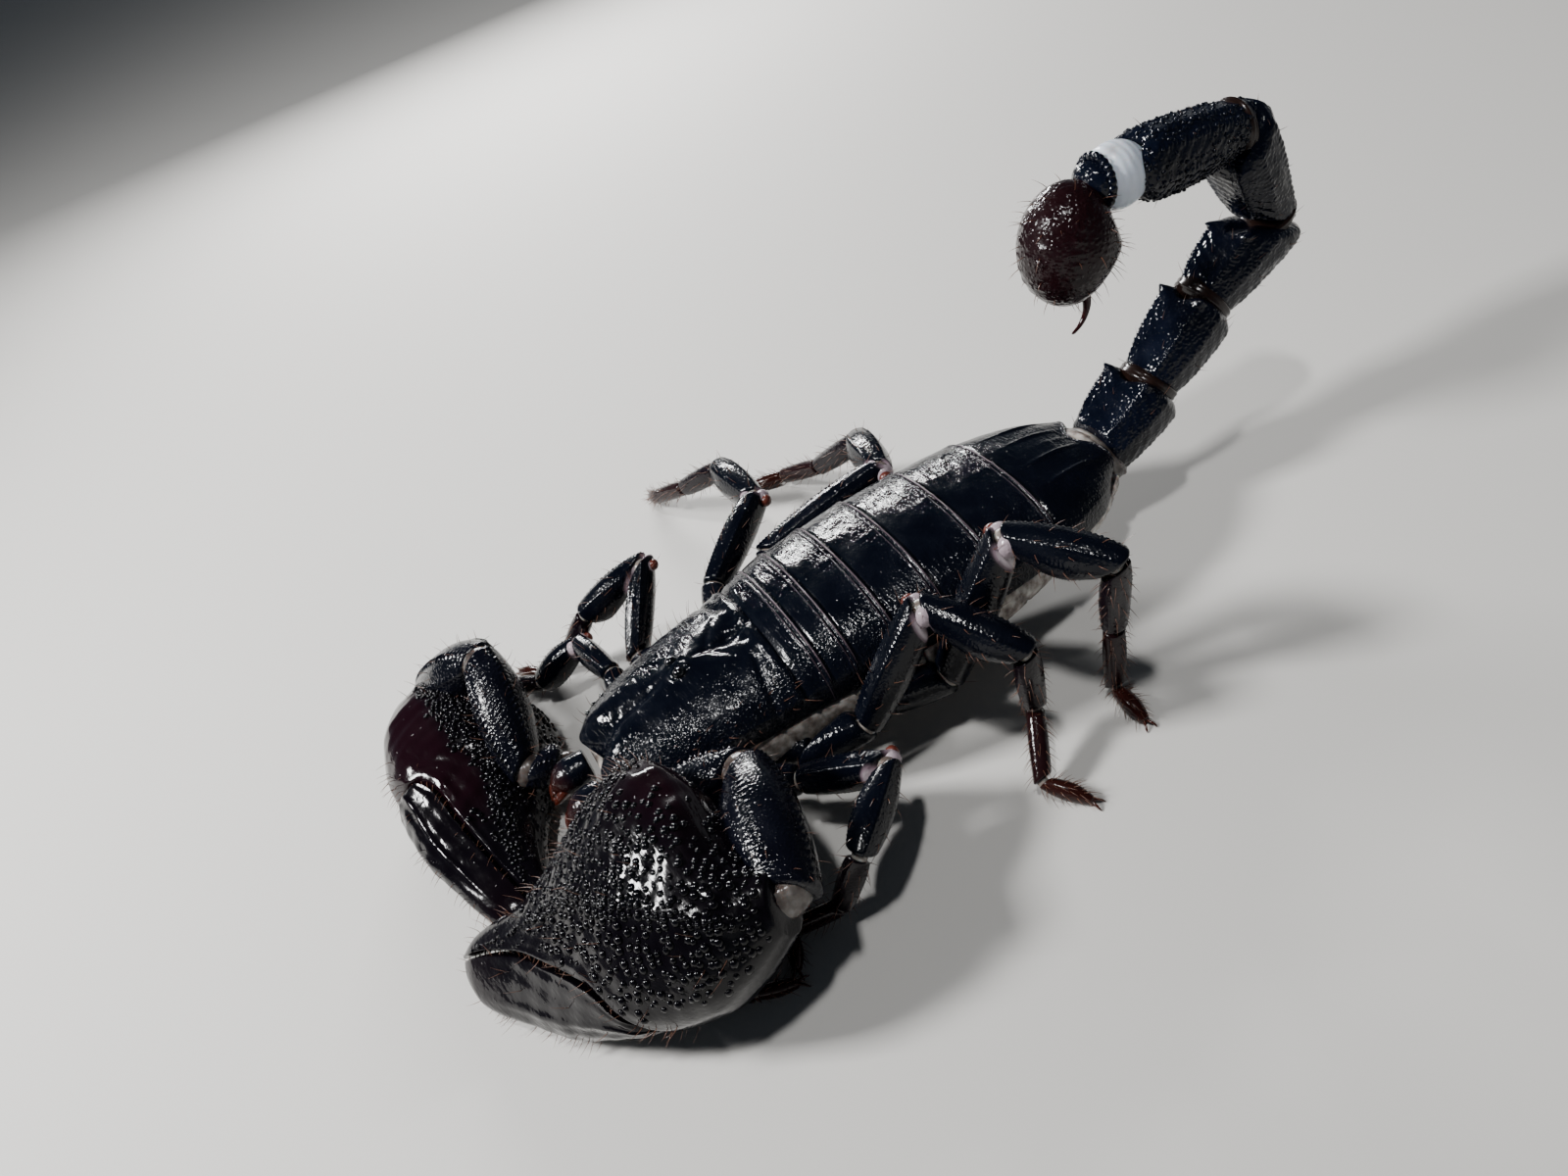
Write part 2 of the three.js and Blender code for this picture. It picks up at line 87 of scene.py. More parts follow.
# %% Curves and directions
def through(xs, ys, x):
    """Smooth curve through the knots: a cubic between each pair, whose slope at a knot is the harmonic
    mean of the slopes on both sides of it, or zero where the curve turns."""
    xs, ys = np.asarray(xs, float), np.asarray(ys, float)
    rise = np.diff(ys) / np.diff(xs)
    before, after = rise[:-1], rise[1:]
    same = before * after > 0
    middle = np.where(same, 2 * before * after / np.where(same, before + after, 1), 0)
    slope = np.concatenate([rise[:1], middle, rise[-1:]])
    i = np.clip(np.searchsorted(xs, x, side="right") - 1, 0, len(xs) - 2)
    span = xs[i + 1] - xs[i]
    u = np.clip((x - xs[i]) / span, 0, 1)
    v = 1 - u
    return (v * v * (1 + 2 * u) * ys[i] + u * u * (3 - 2 * u) * ys[i + 1]
            + span * u * v * (v * slope[i] - u * slope[i + 1]))


def power(value, exponent):
    """Power that keeps the sign: it squares off or sharpens the round section of a limb."""
    return np.sign(value) * np.abs(value) ** exponent


def unit(v):
    """Vectors of length one."""
    return v / np.maximum(np.linalg.norm(v, axis=-1, keepdims=True), 1e-9)


def heading(bearing, slope):
    """Direction from a bearing, 0 straight out sideways and + toward the tail, and a slope, in degrees."""
    b, s = np.radians(bearing), np.radians(slope)
    return np.array([np.cos(b) * np.cos(s), np.sin(b) * np.cos(s), np.sin(s)])


def mitre(before, after):
    """Direction halfway between two articles: the joint between them is cut square to it."""
    return unit(before + after)


def hump(x, width):
    """A round hill of height one: e to the power of minus x over width, squared."""
    return np.exp(-(x / width) ** 2)


def ramp(x, start, end):
    """Share of the way from start to end, held between 0 and 1. It falls where end is the smaller one."""
    return np.clip((x - start) / (end - start), 0, 1)


def quarter(x):
    """Quarter circle: it rises steeply from 0 and lies flat at 1, while x goes from 0 to 1."""
    return np.sqrt(np.maximum(0, 1 - (1 - x) ** 2))


def round_from(theta, angle=0.0):
    """How far round a limb a place lies from the given angle, by the short way, from minus pi to pi."""
    return (theta - angle + np.pi) % (2 * np.pi) - np.pi


print("halfway between ahead and up:", mitre(heading(0, 0), heading(0, 90)).round(3))

# %% [markdown]
# ## From rings of points to a closed skin
# Every shape below is a stack of rings. Neighbouring rings are joined by quads, and one point in the
# middle closes each end. Whole arrays are computed at once, which is far quicker than a loop over points.
# The sign of the enclosed volume tells whether the faces look outward, and turns them if they don't.
# Each point may also carry numbers, called fields here, that the materials read: how pale, how reddish
# and how grainy the cuticle is at that place. Where the pale field is high, it also paints highlights.

# %% Closed skins
FIELDS = ("pale", "warm", "grain")


def skin(rings, **fields):
    """Closed skin over rings of shape (rings, points, 3), as a dictionary of points, faces and fields."""
    m, n, _ = rings.shape
    points = np.concatenate([rings.reshape(-1, 3), rings[:1].mean(1), rings[-1:].mean(1)])
    row, now = np.arange(m - 1)[:, None] * n, np.arange(n)[None]
    then = (now + 1) % n
    quads = np.stack([row + now, row + then, row + n + then, row + n + now], -1).reshape(-1, 4)
    start = np.stack([np.full(n, m * n), then[0], now[0]], -1)
    end = np.stack([np.full(n, m * n + 1), (m - 1) * n + now[0], (m - 1) * n + then[0]], -1)
    tris = np.concatenate([start, end])
    shape = {"points": points, "quads": quads, "tris": tris}
    for key in FIELDS:
        value = np.broadcast_to(np.asarray(fields.get(key, 0.0), float), (m, n))
        shape[key] = np.concatenate([value.ravel(), value[:1].mean(1), value[-1:].mean(1)])
    return outward(shape)


def outward(shape):
    """Turns all faces round if the signed volume, a sixth of the sum of triple products, is negative."""
    p, q, t = shape["points"], shape["quads"], shape["tris"]
    three = np.concatenate([q[:, [0, 1, 2]], q[:, [0, 2, 3]], t])
    a, b, c = (p[three[:, i]] - p.mean(0) for i in range(3))
    if np.einsum("ij,ij->i", np.cross(a, b), c).sum() < 0:
        shape["quads"], shape["tris"] = q[:, ::-1], t[:, ::-1]
    return shape


SIDES = (("left", 1), ("right", -1))


def mirror(shape, side):
    """The same shape on the other side of the animal, for side -1."""
    if side > 0:
        return shape
    other = dict(shape, points=shape["points"] * [-1, 1, 1])
    return outward(other)


print("fields carried by each point:", FIELDS)

# %% [markdown]
# ## From skins to an object
# A finished piece is often several skins in one mesh, such as a plate and the eyes on it, each with its own
# material. The arrays of all of them go into the mesh at once. The piece then rides on the animal's only
# body and takes the place of the solids that it stands for.

# %% One mesh object
def piece(name, shapes, materials, slot, *nodes, finish_of=None):
    """One mesh object from shapes, in metres, in place of the named nodes. finish_of says which material
    each shape takes. No point goes below the floor."""
    points, quads, tris, fields = [], [], [], {key: [] for key in FIELDS}
    of_quads, of_tris, count = [], [], 0
    finish_of = finish_of or [0] * len(shapes)
    for shape, which in zip(shapes, finish_of):
        points.append(shape["points"])
        quads.append(shape["quads"] + count)
        tris.append(shape["tris"] + count)
        of_quads.append(np.full(len(shape["quads"]), which))
        of_tris.append(np.full(len(shape["tris"]), which))
        for key in FIELDS:
            fields[key].append(shape.get(key, np.zeros(len(shape["points"]))))
        count += len(shape["points"])
    points, quads, tris = np.concatenate(points), np.concatenate(quads), np.concatenate(tris)
    points[:, 2] = np.maximum(points[:, 2], 0)
    mesh = bpy.data.meshes.new(name)
    mesh.vertices.add(count)
    mesh.vertices.foreach_set("co", ((points + ORIGIN) * MM).astype(np.float32).ravel())
    mesh.loops.add(quads.size + tris.size)
    mesh.loops.foreach_set("vertex_index", np.concatenate([quads.ravel(), tris.ravel()]).astype(np.int32))
    mesh.polygons.add(len(quads) + len(tris))
    starts = np.concatenate([np.arange(len(quads)) * 4, quads.size + np.arange(len(tris)) * 3])
    mesh.polygons.foreach_set("loop_start", starts.astype(np.int32))
    mesh.polygons.foreach_set("material_index", np.concatenate(of_quads + of_tris).astype(np.int32))
    mesh.update()
    for key in FIELDS:
        field = mesh.attributes.new(key, "FLOAT", "POINT")
        field.data.foreach_set("value", np.concatenate(fields[key]).astype(np.float32))
    if "flat" in shapes[0]:
        corners = np.concatenate([quads.ravel(), tris.ravel()])
        flat = np.concatenate([shape["flat"] for shape in shapes])[corners]
        layer = mesh.uv_layers.new(name="OFBake")
        layer.data.foreach_set("uv", flat.astype(np.float32).ravel())
    mesh.shade_smooth()
    thing = bpy.data.objects.new(name, mesh)
    bpy.context.scene.collection.objects.link(thing)
    for material in materials:
        mesh.materials.append(material)
    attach(thing, "root")
    if nodes:
        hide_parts(*nodes)
    return thing


# %% [markdown]
# ## Limb pieces
# Each article of a leg, an arm or the tail is a tube whose section swells and narrows on the way. Its ends
# are cut on the slant where the limb bends, as two mitred boards are. Keels, the raised granular ridges
# of a scorpion, are added as a relief: a height in millimetres for each place on the tube.

# %% Limb pieces
def article(a, b, up, near, far, width, height, swell, relief=None, gaps=(0.15, 0.15), corner=0.5,
            around=56, step=0.35, floor=False, square=0.9, trim=None):
    """Tube from a to b: width and height are half sizes, swell(t) gives their shares along the way, and
    relief(theta, t, s) pushes the surface out, with theta 0 at the top and s in mm from the near end.
    The last corner millimetres of each end are rounded off by a quarter circle, and trim(theta) takes mm
    off the far end."""
    a, b = np.asarray(a, float), np.asarray(b, float)
    length = np.linalg.norm(b - a)
    axis = (b - a) / length
    side = unit(np.cross(axis, up))
    top = np.cross(side, axis)
    turn = np.linspace(0, np.pi / 2, 5)
    ends = corner * (1 - np.cos(turn)) / length
    body = np.linspace(ends[-1], 1 - ends[-1], max(4, int(length / step)))[1:-1]
    t = np.concatenate([ends, body, 1 - ends[::-1]])[:, None]
    theta = np.linspace(0, 2 * np.pi, around, endpoint=False)[None]
    across, high = power(np.sin(theta), square), power(np.cos(theta), square)
    w, h = swell(t)
    inset = np.clip(np.minimum(t, 1 - t) * length / corner, 0, 1)
    cut = corner * (1 - quarter(inset))
    wide, tall = width * w - cut, height * h - cut
    if relief is not None:
        lift = relief(theta, t, t * length) * inset
        wide, tall = wide + lift, tall + lift
    offset = (across * wide)[..., None] * side + (high * tall)[..., None] * top
    start = (gaps[0] - offset @ near) / (near @ axis)
    end = length - (gaps[1] + offset @ far) / (far @ axis) - (0 if trim is None else trim(theta))
    rings = a + offset + (start + (end - start) * t)[..., None] * axis
    if floor:
        rings[..., 2] = np.maximum(rings[..., 2], 0)
    return rings, theta, t, (axis, side, top)


AHEAD = np.array([1.0, 0.0, 0.0])
tube, _, _, _ = article([0, 0, 0], [10, 0, 0], [0, 0, 1], AHEAD, AHEAD, 2, 2, lambda t: (1.0, 1.0))
print("a trial limb piece has", tube.shape[0], "rings of", tube.shape[1], "points")

# %% [markdown]
# ### Swelling, keels and balls
# Three more bricks finish a limb. A bulge says how its girth grows and shrinks on the way. Keels are rows
# of beads along it, which could be modelled one by one, but a wave along a ridge gives hundreds at once.
# A ball, with or without pleats, serves as joint skin, eye, tooth and knob.

# %% Swelling, keels and balls
def bulge(start, widest, end):
    """Share of the full girth: a quarter sine up to the widest place, a quarter cosine down to the end."""
    def swell(t):
        up = start + (1 - start) * np.sin(np.minimum(t / widest, 1) * np.pi / 2)
        down = end + (1 - end) * np.cos(ramp(t, widest, 1) * np.pi / 2)
        s = np.where(t < widest, up, down)
        return s, s
    return swell


def keels(ridges, pitch=0.9, beads=0.5):
    """Relief of lengthwise ridges, each (angle in degrees, height, width in degrees), broken into beads:
    a hump across the ridge times a wave along it, fading out toward both ends."""
    def relief(theta, t, s):
        total = 0.0
        fade = np.sin(np.pi * np.clip(t, 0, 1)) ** 0.35
        for i, (angle, height, width) in enumerate(ridges):
            away = round_from(theta, np.radians(angle))
            wave = 1 - beads + beads * np.cos(2 * np.pi * s / pitch + i)
            total = total + height * hump(away, np.radians(width)) * wave * fade
        return total
    return relief


def in_pairs(*ridges):
    """Each ridge on both sides of a limb."""
    return [(side * angle, height, width) for angle, height, width in ridges for side in (1, -1)]


def ball(centre, radii, axes=None, rows=14, around=20, pleats=0.0):
    """Closed ellipsoid: rings of latitude, along the given axes, with optional round pleats."""
    axes = np.eye(3) if axes is None else np.asarray(axes)
    lat = np.linspace(0.06, np.pi - 0.06, rows)[:, None]
    lon = np.linspace(0, 2 * np.pi, around, endpoint=False)[None]
    wave = 1 + pleats * np.cos(lat * 14)
    local = np.stack([radii[0] * wave * np.sin(lat) * np.cos(lon),
                      radii[1] * wave * np.sin(lat) * np.sin(lon), radii[2] * np.cos(lat) + 0 * lon], -1)
    return np.asarray(centre) + local @ axes


print("share of the girth a quarter of the way along:", bulge(0.7, 0.5, 0.7)(np.array(0.25))[0].round(3))

# %% [markdown]
# ## Materials
# Cuticle is chitin hardened by tanning. Its outermost layer is a smooth wax that reflects like varnish,
# over a body so dark that almost no light comes back out of it. The index of refraction is set below the
# 1.5 of wax, so that the pale floor does not wash out the flanks, which are finely dull on the real animal.
# So what the eye sees is mostly gloss, broken up by fine granules, scratches and a little dust. A picture
# of it would not wrap round all these tubes without seams, so the pattern is computed from the place in
# space, at sizes given in millimetres.

# %% Colours and the node helpers
def colour(code):
    """sRGB hex to linear light: divided by 12.92 below 0.04045, else on the 2.4 power curve."""
    srgb = np.array([int(code[i:i + 2], 16) / 255 for i in (1, 3, 5)])
    linear = np.where(srgb <= 0.04045, srgb / 12.92, ((srgb + 0.055) / 1.055) ** 2.4)
    return (*linear, 1.0)


def add(tree, kind, links=None, values=None, **settings):
    """Adds a node, sets its properties, its input values and the sockets that feed it."""
    made = tree.nodes.new(kind)
    for key, value in settings.items():
        setattr(made, key, value)
    for key, value in (values or {}).items():
        made.inputs[key].default_value = value
    for key, socket in (links or {}).items():
        tree.links.new(socket, made.inputs[key])
    return made


print("near black in linear light:", np.round(colour("#0b0d10")[:3], 4))

# %% [markdown]
# ### Bricks for the materials
# Every finish below mixes two or three close colours by a noise, and roughens the surface a little with
# bumps. Each of these steps is a short function, so that a finish reads like its own recipe.

# %% Noise, colour mixes and bumps
def field(tree, name):
    """One of the numbers that each point of a skin carries."""
    return add(tree, "ShaderNodeAttribute", attribute_name=name).outputs["Fac"]


def noise(tree, place, size_mm, detail):
    """Soft cloudy noise whose clouds are about size_mm across."""
    return add(tree, "ShaderNodeTexNoise", {"Vector": place},
               {"Scale": 1 / (size_mm * MM), "Detail": detail}).outputs["Fac"]


def blend(tree, factor, a, b):
    """Mixes two colours, each a hex colour or a socket, by a factor."""
    made = add(tree, "ShaderNodeMix", {"Factor": factor}, data_type="RGBA")
    for key, value in (("A", a), ("B", b)):
        if isinstance(value, str):
            made.inputs[key].default_value = colour(value)
        else:
            tree.links.new(value, made.inputs[key])
    return made.outputs["Result"]


def tinted(tree, factor, first, last, between):
    """Colour ramp with three stops, each a position and a hex colour."""
    made = add(tree, "ShaderNodeValToRGB", {"Fac": factor})
    stops = made.color_ramp.elements
    stops[0].position, stops[0].color = first[0], colour(first[1])
    stops[1].position, stops[1].color = last[0], colour(last[1])
    stops.new(between[0]).color = colour(between[1])
    return made.outputs["Color"]


def bumps(tree, *layers):
    """A chain of bumps, each (height, strength, depth in mm) laid over the one before."""
    under = {}
    for height, strength, depth_mm in layers:
        made = add(tree, "ShaderNodeBump", {"Height": height, **under},
                   {"Strength": strength, "Distance": depth_mm * MM})
        under = {"Normal": made.outputs["Normal"]}
    return under["Normal"]


def blank(name, **values):
    """A material with one principled shader, and the values of its sockets that stay constant."""
    material = bpy.data.materials.new(name)
    material.use_nodes = True
    tree = material.node_tree
    shader = tree.nodes["Principled BSDF"]
    for key, value in values.items():
        shader.inputs[key.replace("_", " ")].default_value = value
    return material, tree, shader


def feed(tree, shader, **sockets):
    """Links sockets to inputs of the shader, such as Base_Color."""
    for key, socket in sockets.items():
        tree.links.new(socket, shader.inputs[key.replace("_", " ")])


print("materials before the first finish:", len(bpy.data.materials))

# %% [markdown]
# ### Sclerotised cuticle
# One recipe serves the back, the limbs, the claws and the sting, with other colours and grain sizes. The
# granules of the back are 0.3 mm apart and those of the claws 0.8 mm. A cell pattern gives the granules,
# a finer noise the wax, and stretched noise the scratches. Where a point's pale field is high the plate
# turns lilac and then white, which at the knees and on the rims of the back plates is a painted highlight,
# and where the warm field is high it turns red brown.

# %% Heights of the cuticle
CLOUD_MM, RIPPLE_MM, SPECK_MM = 4, 0.45, 1.2
# Scratches per metre, lengthwise and across: they are long in the first direction.
SCRATCHES = (330, 1700, 1300)


def granule_tops(tree, place, grain, granule_mm):
    """Round granules in a cell pattern, as high as the grain field says, plus a few small hard specks."""
    cells = add(tree, "ShaderNodeTexVoronoi", {"Vector": place},
                {"Scale": 1 / (granule_mm * MM), "Smoothness": 0.6}, feature="SMOOTH_F1")
    round_top = add(tree, "ShaderNodeMapRange", {"Value": cells.outputs["Distance"]},
                    {"From Min": 0.15, "From Max": 0.6, "To Min": 1.0, "To Max": 0.0},
                    interpolation_type="SMOOTHSTEP")
    specks = add(tree, "ShaderNodeTexVoronoi", {"Vector": place}, {"Scale": 1 / (SPECK_MM * MM)})
    speck_top = add(tree, "ShaderNodeMapRange", {"Value": specks.outputs["Distance"]},
                    {"From Min": 0.04, "From Max": 0.12, "To Min": 0.8, "To Max": 0.0})
    both = add(tree, "ShaderNodeMath", {0: round_top.outputs["Result"], 1: grain,
                                        2: speck_top.outputs["Result"]}, operation="MULTIPLY_ADD")
    return both.outputs["Value"]


def scratches(tree, place):
    """Noise drawn out into fine lines."""
    stretched = add(tree, "ShaderNodeMapping", {"Vector": place}, {"Scale": SCRATCHES})
    return add(tree, "ShaderNodeTexNoise", {"Vector": stretched.outputs["Vector"]},
               {"Scale": 1.0, "Detail": 2.0}).outputs["Fac"]


print("specks are", SPECK_MM, "mm apart")

# %% [markdown]
# ### The finished cuticle
# The heights lie over each other as three bumps: ripple, scratches, granules. Colour and roughness follow
# the clouds and the fields of the points, while the refraction is one value on the shader itself.

# %% Sclerotised cuticle
CUTICLE_IOR = 1.33


def cuticle(name, dark, light, warm, granule_mm, granule_height, streaks=0.04, gloss=0.15, dust=0.1):
    """Varnished dark cuticle: granules, wax ripple and scratches as bump, dust and wear as roughness."""
    material, tree, shader = blank(name, IOR=CUTICLE_IOR)
    place = add(tree, "ShaderNodeTexCoord").outputs["Object"]
    cloud, pale = noise(tree, place, CLOUD_MM, 5.0), field(tree, "pale")
    reddish = blend(tree, field(tree, "warm"), blend(tree, cloud, dark, light), warm)
    # The pale ramp goes lilac to white: painted highlights at the knees and rims, and the pale breathing
    # slits.
    pale_and_painted_highlight = tinted(tree, pale, (0, "#1a1519"), (1, "#d9cdd2"), (0.5, "#77666f"))
    amount = add(tree, "ShaderNodeMapRange", {"Value": pale}, {"From Max": 0.35}).outputs["Result"]
    worn = add(tree, "ShaderNodeMapRange", {"Value": cloud},
               {"From Min": 0.35, "From Max": 0.75, "To Min": gloss - 0.06, "To Max": gloss + dust})
    normal = bumps(tree, (noise(tree, place, RIPPLE_MM, 3.0), 0.3, 0.03),
                   (scratches(tree, place), 1.0, streaks),
                   (granule_tops(tree, place, field(tree, "grain"), granule_mm), 1.0, granule_height))
    feed(tree, shader, Base_Color=blend(tree, amount, reddish, pale_and_painted_highlight), Roughness=worn.outputs["Result"],
         Normal=normal)
    return material


# The blue in the light colours of the first three cuticles is a painted reflection of blue sky; under it the
# cuticle is black.
SHELL = cuticle("sclerotised cuticle, blue black", "#020307", "#070a14", "#2b100a", 0.34, 0.05, streaks=0.12)
LIMB_SHELL = cuticle("sclerotised cuticle of the limbs", "#020307", "#070a14", "#2b100a", 0.4, 0.05)
TAIL_SHELL = cuticle("granular cuticle of the tail", "#030409", "#0a0f1e", "#2b100a", 0.55, 0.09,
                     gloss=0.12)
CLAW_SHELL = cuticle("sclerotised cuticle of the claws", "#030306", "#08060a", "#1b070e", 0.75, 0.05,
                     gloss=0.13)
STING_SHELL = cuticle("sclerotised cuticle of the sting", "#0e0507", "#1d090d", "#3c1012", 0.6, 0.08,
                      gloss=0.18)
print("cuticle made:", SHELL.name, "|", CLAW_SHELL.name, "|", STING_SHELL.name)

# %% [markdown]
# ### Soft skin, eyes, combs and hairs
# Joint membrane is the same cuticle before tanning: soft, pleated, creamy white to translucent brown, so
# light enters it a little. The eyes are single lenses, black and polished like glass. The combs under the
# belly are pale brown. The hairs are stiff bristles of red brown chitin.

# %% Soft skin, eyes, combs and hairs
def joint_membrane():
    """Soft skin: pleats half a millimetre apart as bump, blotches of brown in creamy white. It turns brown
    with the warm field and bluish white with the pale one, which paints a highlight on the tail's end skin."""
    material, tree, shader = blank("joint membrane", IOR=1.45, Roughness=0.25, Subsurface_Weight=0.15,
                                   Subsurface_Scale=0.6 * MM)
    place = add(tree, "ShaderNodeTexCoord").outputs["Object"]
    blotches = tinted(tree, noise(tree, place, 1.6, 4.0), (0.35, "#6a5f59"), (0.7, "#d6d2cc"),
                      (0.52, "#a79f97"))
    brown = blend(tree, field(tree, "warm"), blotches, "#1e100c")
    pleat = add(tree, "ShaderNodeTexWave", {"Vector": place},
                {"Scale": 1 / (3.2 * MM), "Distortion": 3.0, "Detail": 2.0}, bands_direction="Y")
    # The pale field mixes in bluish white, partly a painted highlight on the tail's end skin.
    feed(tree, shader, Base_Color=blend(tree, field(tree, "pale"), brown, "#c9d2de"),
         Normal=bumps(tree, (pleat.outputs["Fac"], 0.5, 0.08)))
    return material


def plain_finish(name, dark, light, grain_mm, **values):
    """Two close colours in a noise of the given size, for the small parts."""
    material, tree, shader = blank(name, **values)
    clouds = noise(tree, add(tree, "ShaderNodeTexCoord").outputs["Object"], grain_mm, 3.0)
    feed(tree, shader, Base_Color=blend(tree, clouds, dark, light), Normal=bumps(tree, (clouds, 0.3, 0.03)))
    return material


MEMBRANE = joint_membrane()
DARK_JOINT = plain_finish("dark joint membrane of the tail", "#0c0706", "#241612", 0.7, IOR=1.4,
                          Roughness=0.2)
LENS = plain_finish("eye lens", "#020203", "#06060a", 1.0, IOR=1.5, Roughness=0.06, Coat_Weight=0.5)
COMB = plain_finish("pale cuticle of the combs", "#7d5c40", "#b08f6c", 0.8, IOR=1.5, Roughness=0.4)
BRISTLE = plain_finish("red brown bristle chitin", "#331710", "#75503c", 0.5, IOR=1.55, Roughness=0.35)
CLAW_TIP = plain_finish("red brown chitin of claws and teeth", "#1c0805", "#4a1a0e", 0.6, IOR=1.55,
                        Roughness=0.2)
CONDYLE = plain_finish("knee knuckle, tanned orange", "#34140f", "#6c352b", 0.5, IOR=1.5, Roughness=0.25)
print("soft and small parts:", MEMBRANE.name, LENS.name, COMB.name, BRISTLE.name)

# %% [markdown]
# ## Bristles and beads
# Hundreds of bristles stand on the claws, legs and sting, and hundreds of hard beads sit on the claws.
# Their places come from a jittered grid on the skin that they grow from, because a purely random scatter
# leaves bald patches and clumps.

# %% Scatter
def scatter(rings, spacing, seed, keep=None):
    """Places on a skin, about spacing mm apart: rows along the skin at equal distances, each with points
    at equal distances round it, all shifted at random by a third. Returns places, normals, the direction
    along the skin, and each place's shares of the way along and round."""
    rng = np.random.default_rng(seed)
    m, n, _ = rings.shape
    walk = np.linalg.norm(np.diff(rings, axis=0), axis=2).mean(1)
    run = np.concatenate([[0], np.cumsum(walk)])
    stations = np.arange(spacing / 2, run[-1], spacing)
    row_list, col_list = [], []
    for i, s in enumerate(stations):
        row = np.interp(s, run, np.arange(m))
        ring = rings[int(row)]
        edge = np.linalg.norm(np.roll(ring, -1, 0) - ring, axis=1)
        lap = np.concatenate([[0], np.cumsum(edge)])
        count = max(1, int(lap[-1] / spacing))
        at = (np.arange(count) + (i % 2) / 2 + rng.uniform(-0.33, 0.33, count)) / count % 1
        col_list.append(np.interp(at * lap[-1], lap, np.arange(n + 1)))
        row_list.append(np.full(count, row) + rng.uniform(-0.33, 0.33, count) * spacing / run[-1] * (m - 1))
    row, col = np.clip(np.concatenate(row_list), 0, m - 1.001), np.concatenate(col_list) % n
    i, j = row.astype(int), col.astype(int)
    u, v = (row - i)[:, None], (col - j)[:, None]
    k = (j + 1) % n
    place = ((1 - u) * ((1 - v) * rings[i, j] + v * rings[i, k])
             + u * ((1 - v) * rings[i + 1, j] + v * rings[i + 1, k]))
    along = unit(rings[i + 1, j] - rings[i, j])
    normal = unit(np.cross(along, rings[i, k] - rings[i, j]))
    outside = np.einsum("ij,ij->i", normal, place - rings[i].mean(1)) < 0
    normal[outside] *= -1
    share = np.stack([row / (m - 1), col / n], -1)
    if keep is not None:
        chosen = keep(share, place, normal, rng)
        place, normal, along, share = place[chosen], normal[chosen], along[chosen], share[chosen]
    return place, normal, along, share


def few(chance):
    """Keeps that share of all places, at random."""
    return lambda share, place, normal, rng: rng.random(len(share)) < chance


print("places 1 mm apart on the trial limb piece:", len(scatter(tube, 1.0, 0)[0]))

# %% [markdown]
# ### The shape of bristles and beads
# Blender's hair and instances don't leave the program as solid shapes, so each bristle is a real tapered
# spike of three sides and each bead a low dome. One template is stretched, turned and moved for all of
# them in one array sum.

# %% Bristles and beads
# The four rings of a spike: share of its length, from just under the skin, and share of its radius there.
SPIKE_RINGS = ((-0.06, 1.0), (0.3, 0.8), (0.65, 0.5), (0.92, 0.2))
SPIKE_POINTS = 3 * len(SPIKE_RINGS) + 1


def bristles(found, length, radius, lean, seed, tile=(0, 1), curl=0.25):
    """Tapered three-sided spikes: four rings that shrink to a point, leaning along the limb and curling.
    Their flat map gives each spike a patch 0.003 across at the place of its root on the unrolled skin,
    with the skins of several limb pieces side by side as tiles. Spikes that would reach the floor are
    left out."""
    places, normals, along, share = found
    rng = np.random.default_rng(seed)
    count = len(places)
    long = (length * rng.uniform(0.6, 1.25, count))[:, None]
    wild = unit(rng.normal(size=(count, 3)))
    way = unit(normals + lean * along + 0.25 * wild)
    bend = unit(along + 0.6 * wild)
    above = (places + way * long + bend * long * curl)[:, 2] > 0.05
    places, share, long, way, bend = (values[above] for values in (places, share, long, way, bend))
    count = len(places)
    side = unit(np.cross(way, bend))
    other = np.cross(side, way)
    turn = np.arange(3) * 2 * np.pi / 3
    ring = np.cos(turn)[None, :, None] * side[:, None] + np.sin(turn)[None, :, None] * other[:, None]
    rows = []
    for t, r in SPIKE_RINGS:
        centre = places + way * long * t + bend * long * curl * t * t
        rows.append(centre[:, None] + ring * radius * r)
    tip = (places + way * long + bend * long * curl)[:, None]
    points = np.concatenate(rows + [tip], 1)
    now, then = np.arange(3), (np.arange(3) + 1) % 3
    quads = np.concatenate([np.stack([3 * r + now, 3 * r + then, 3 * r + 3 + then, 3 * r + 3 + now], -1)
                            for r in range(3)])
    tris = np.concatenate([np.stack([9 + now, 9 + then, np.full(3, 12)], -1), [[2, 1, 0]]])
    shift = (np.arange(count) * SPIKE_POINTS)[:, None, None]
    root = np.stack([(tile[0] + share[:, 1]) / tile[1], share[:, 0]], -1)
    corner = np.stack([np.cos(turn), np.sin(turn)], -1) * 0.0015
    patch = np.concatenate([corner * r for _, r in SPIKE_RINGS] + [[[0, 0]]])
    flat = np.clip(root, 0.002, 0.998)[:, None] + patch[None]
    return outward({"points": points.reshape(-1, 3), "quads": (quads[None] + shift).reshape(-1, 4),
                    "tris": (tris[None] + shift).reshape(-1, 3), "flat": flat.reshape(-1, 2)})


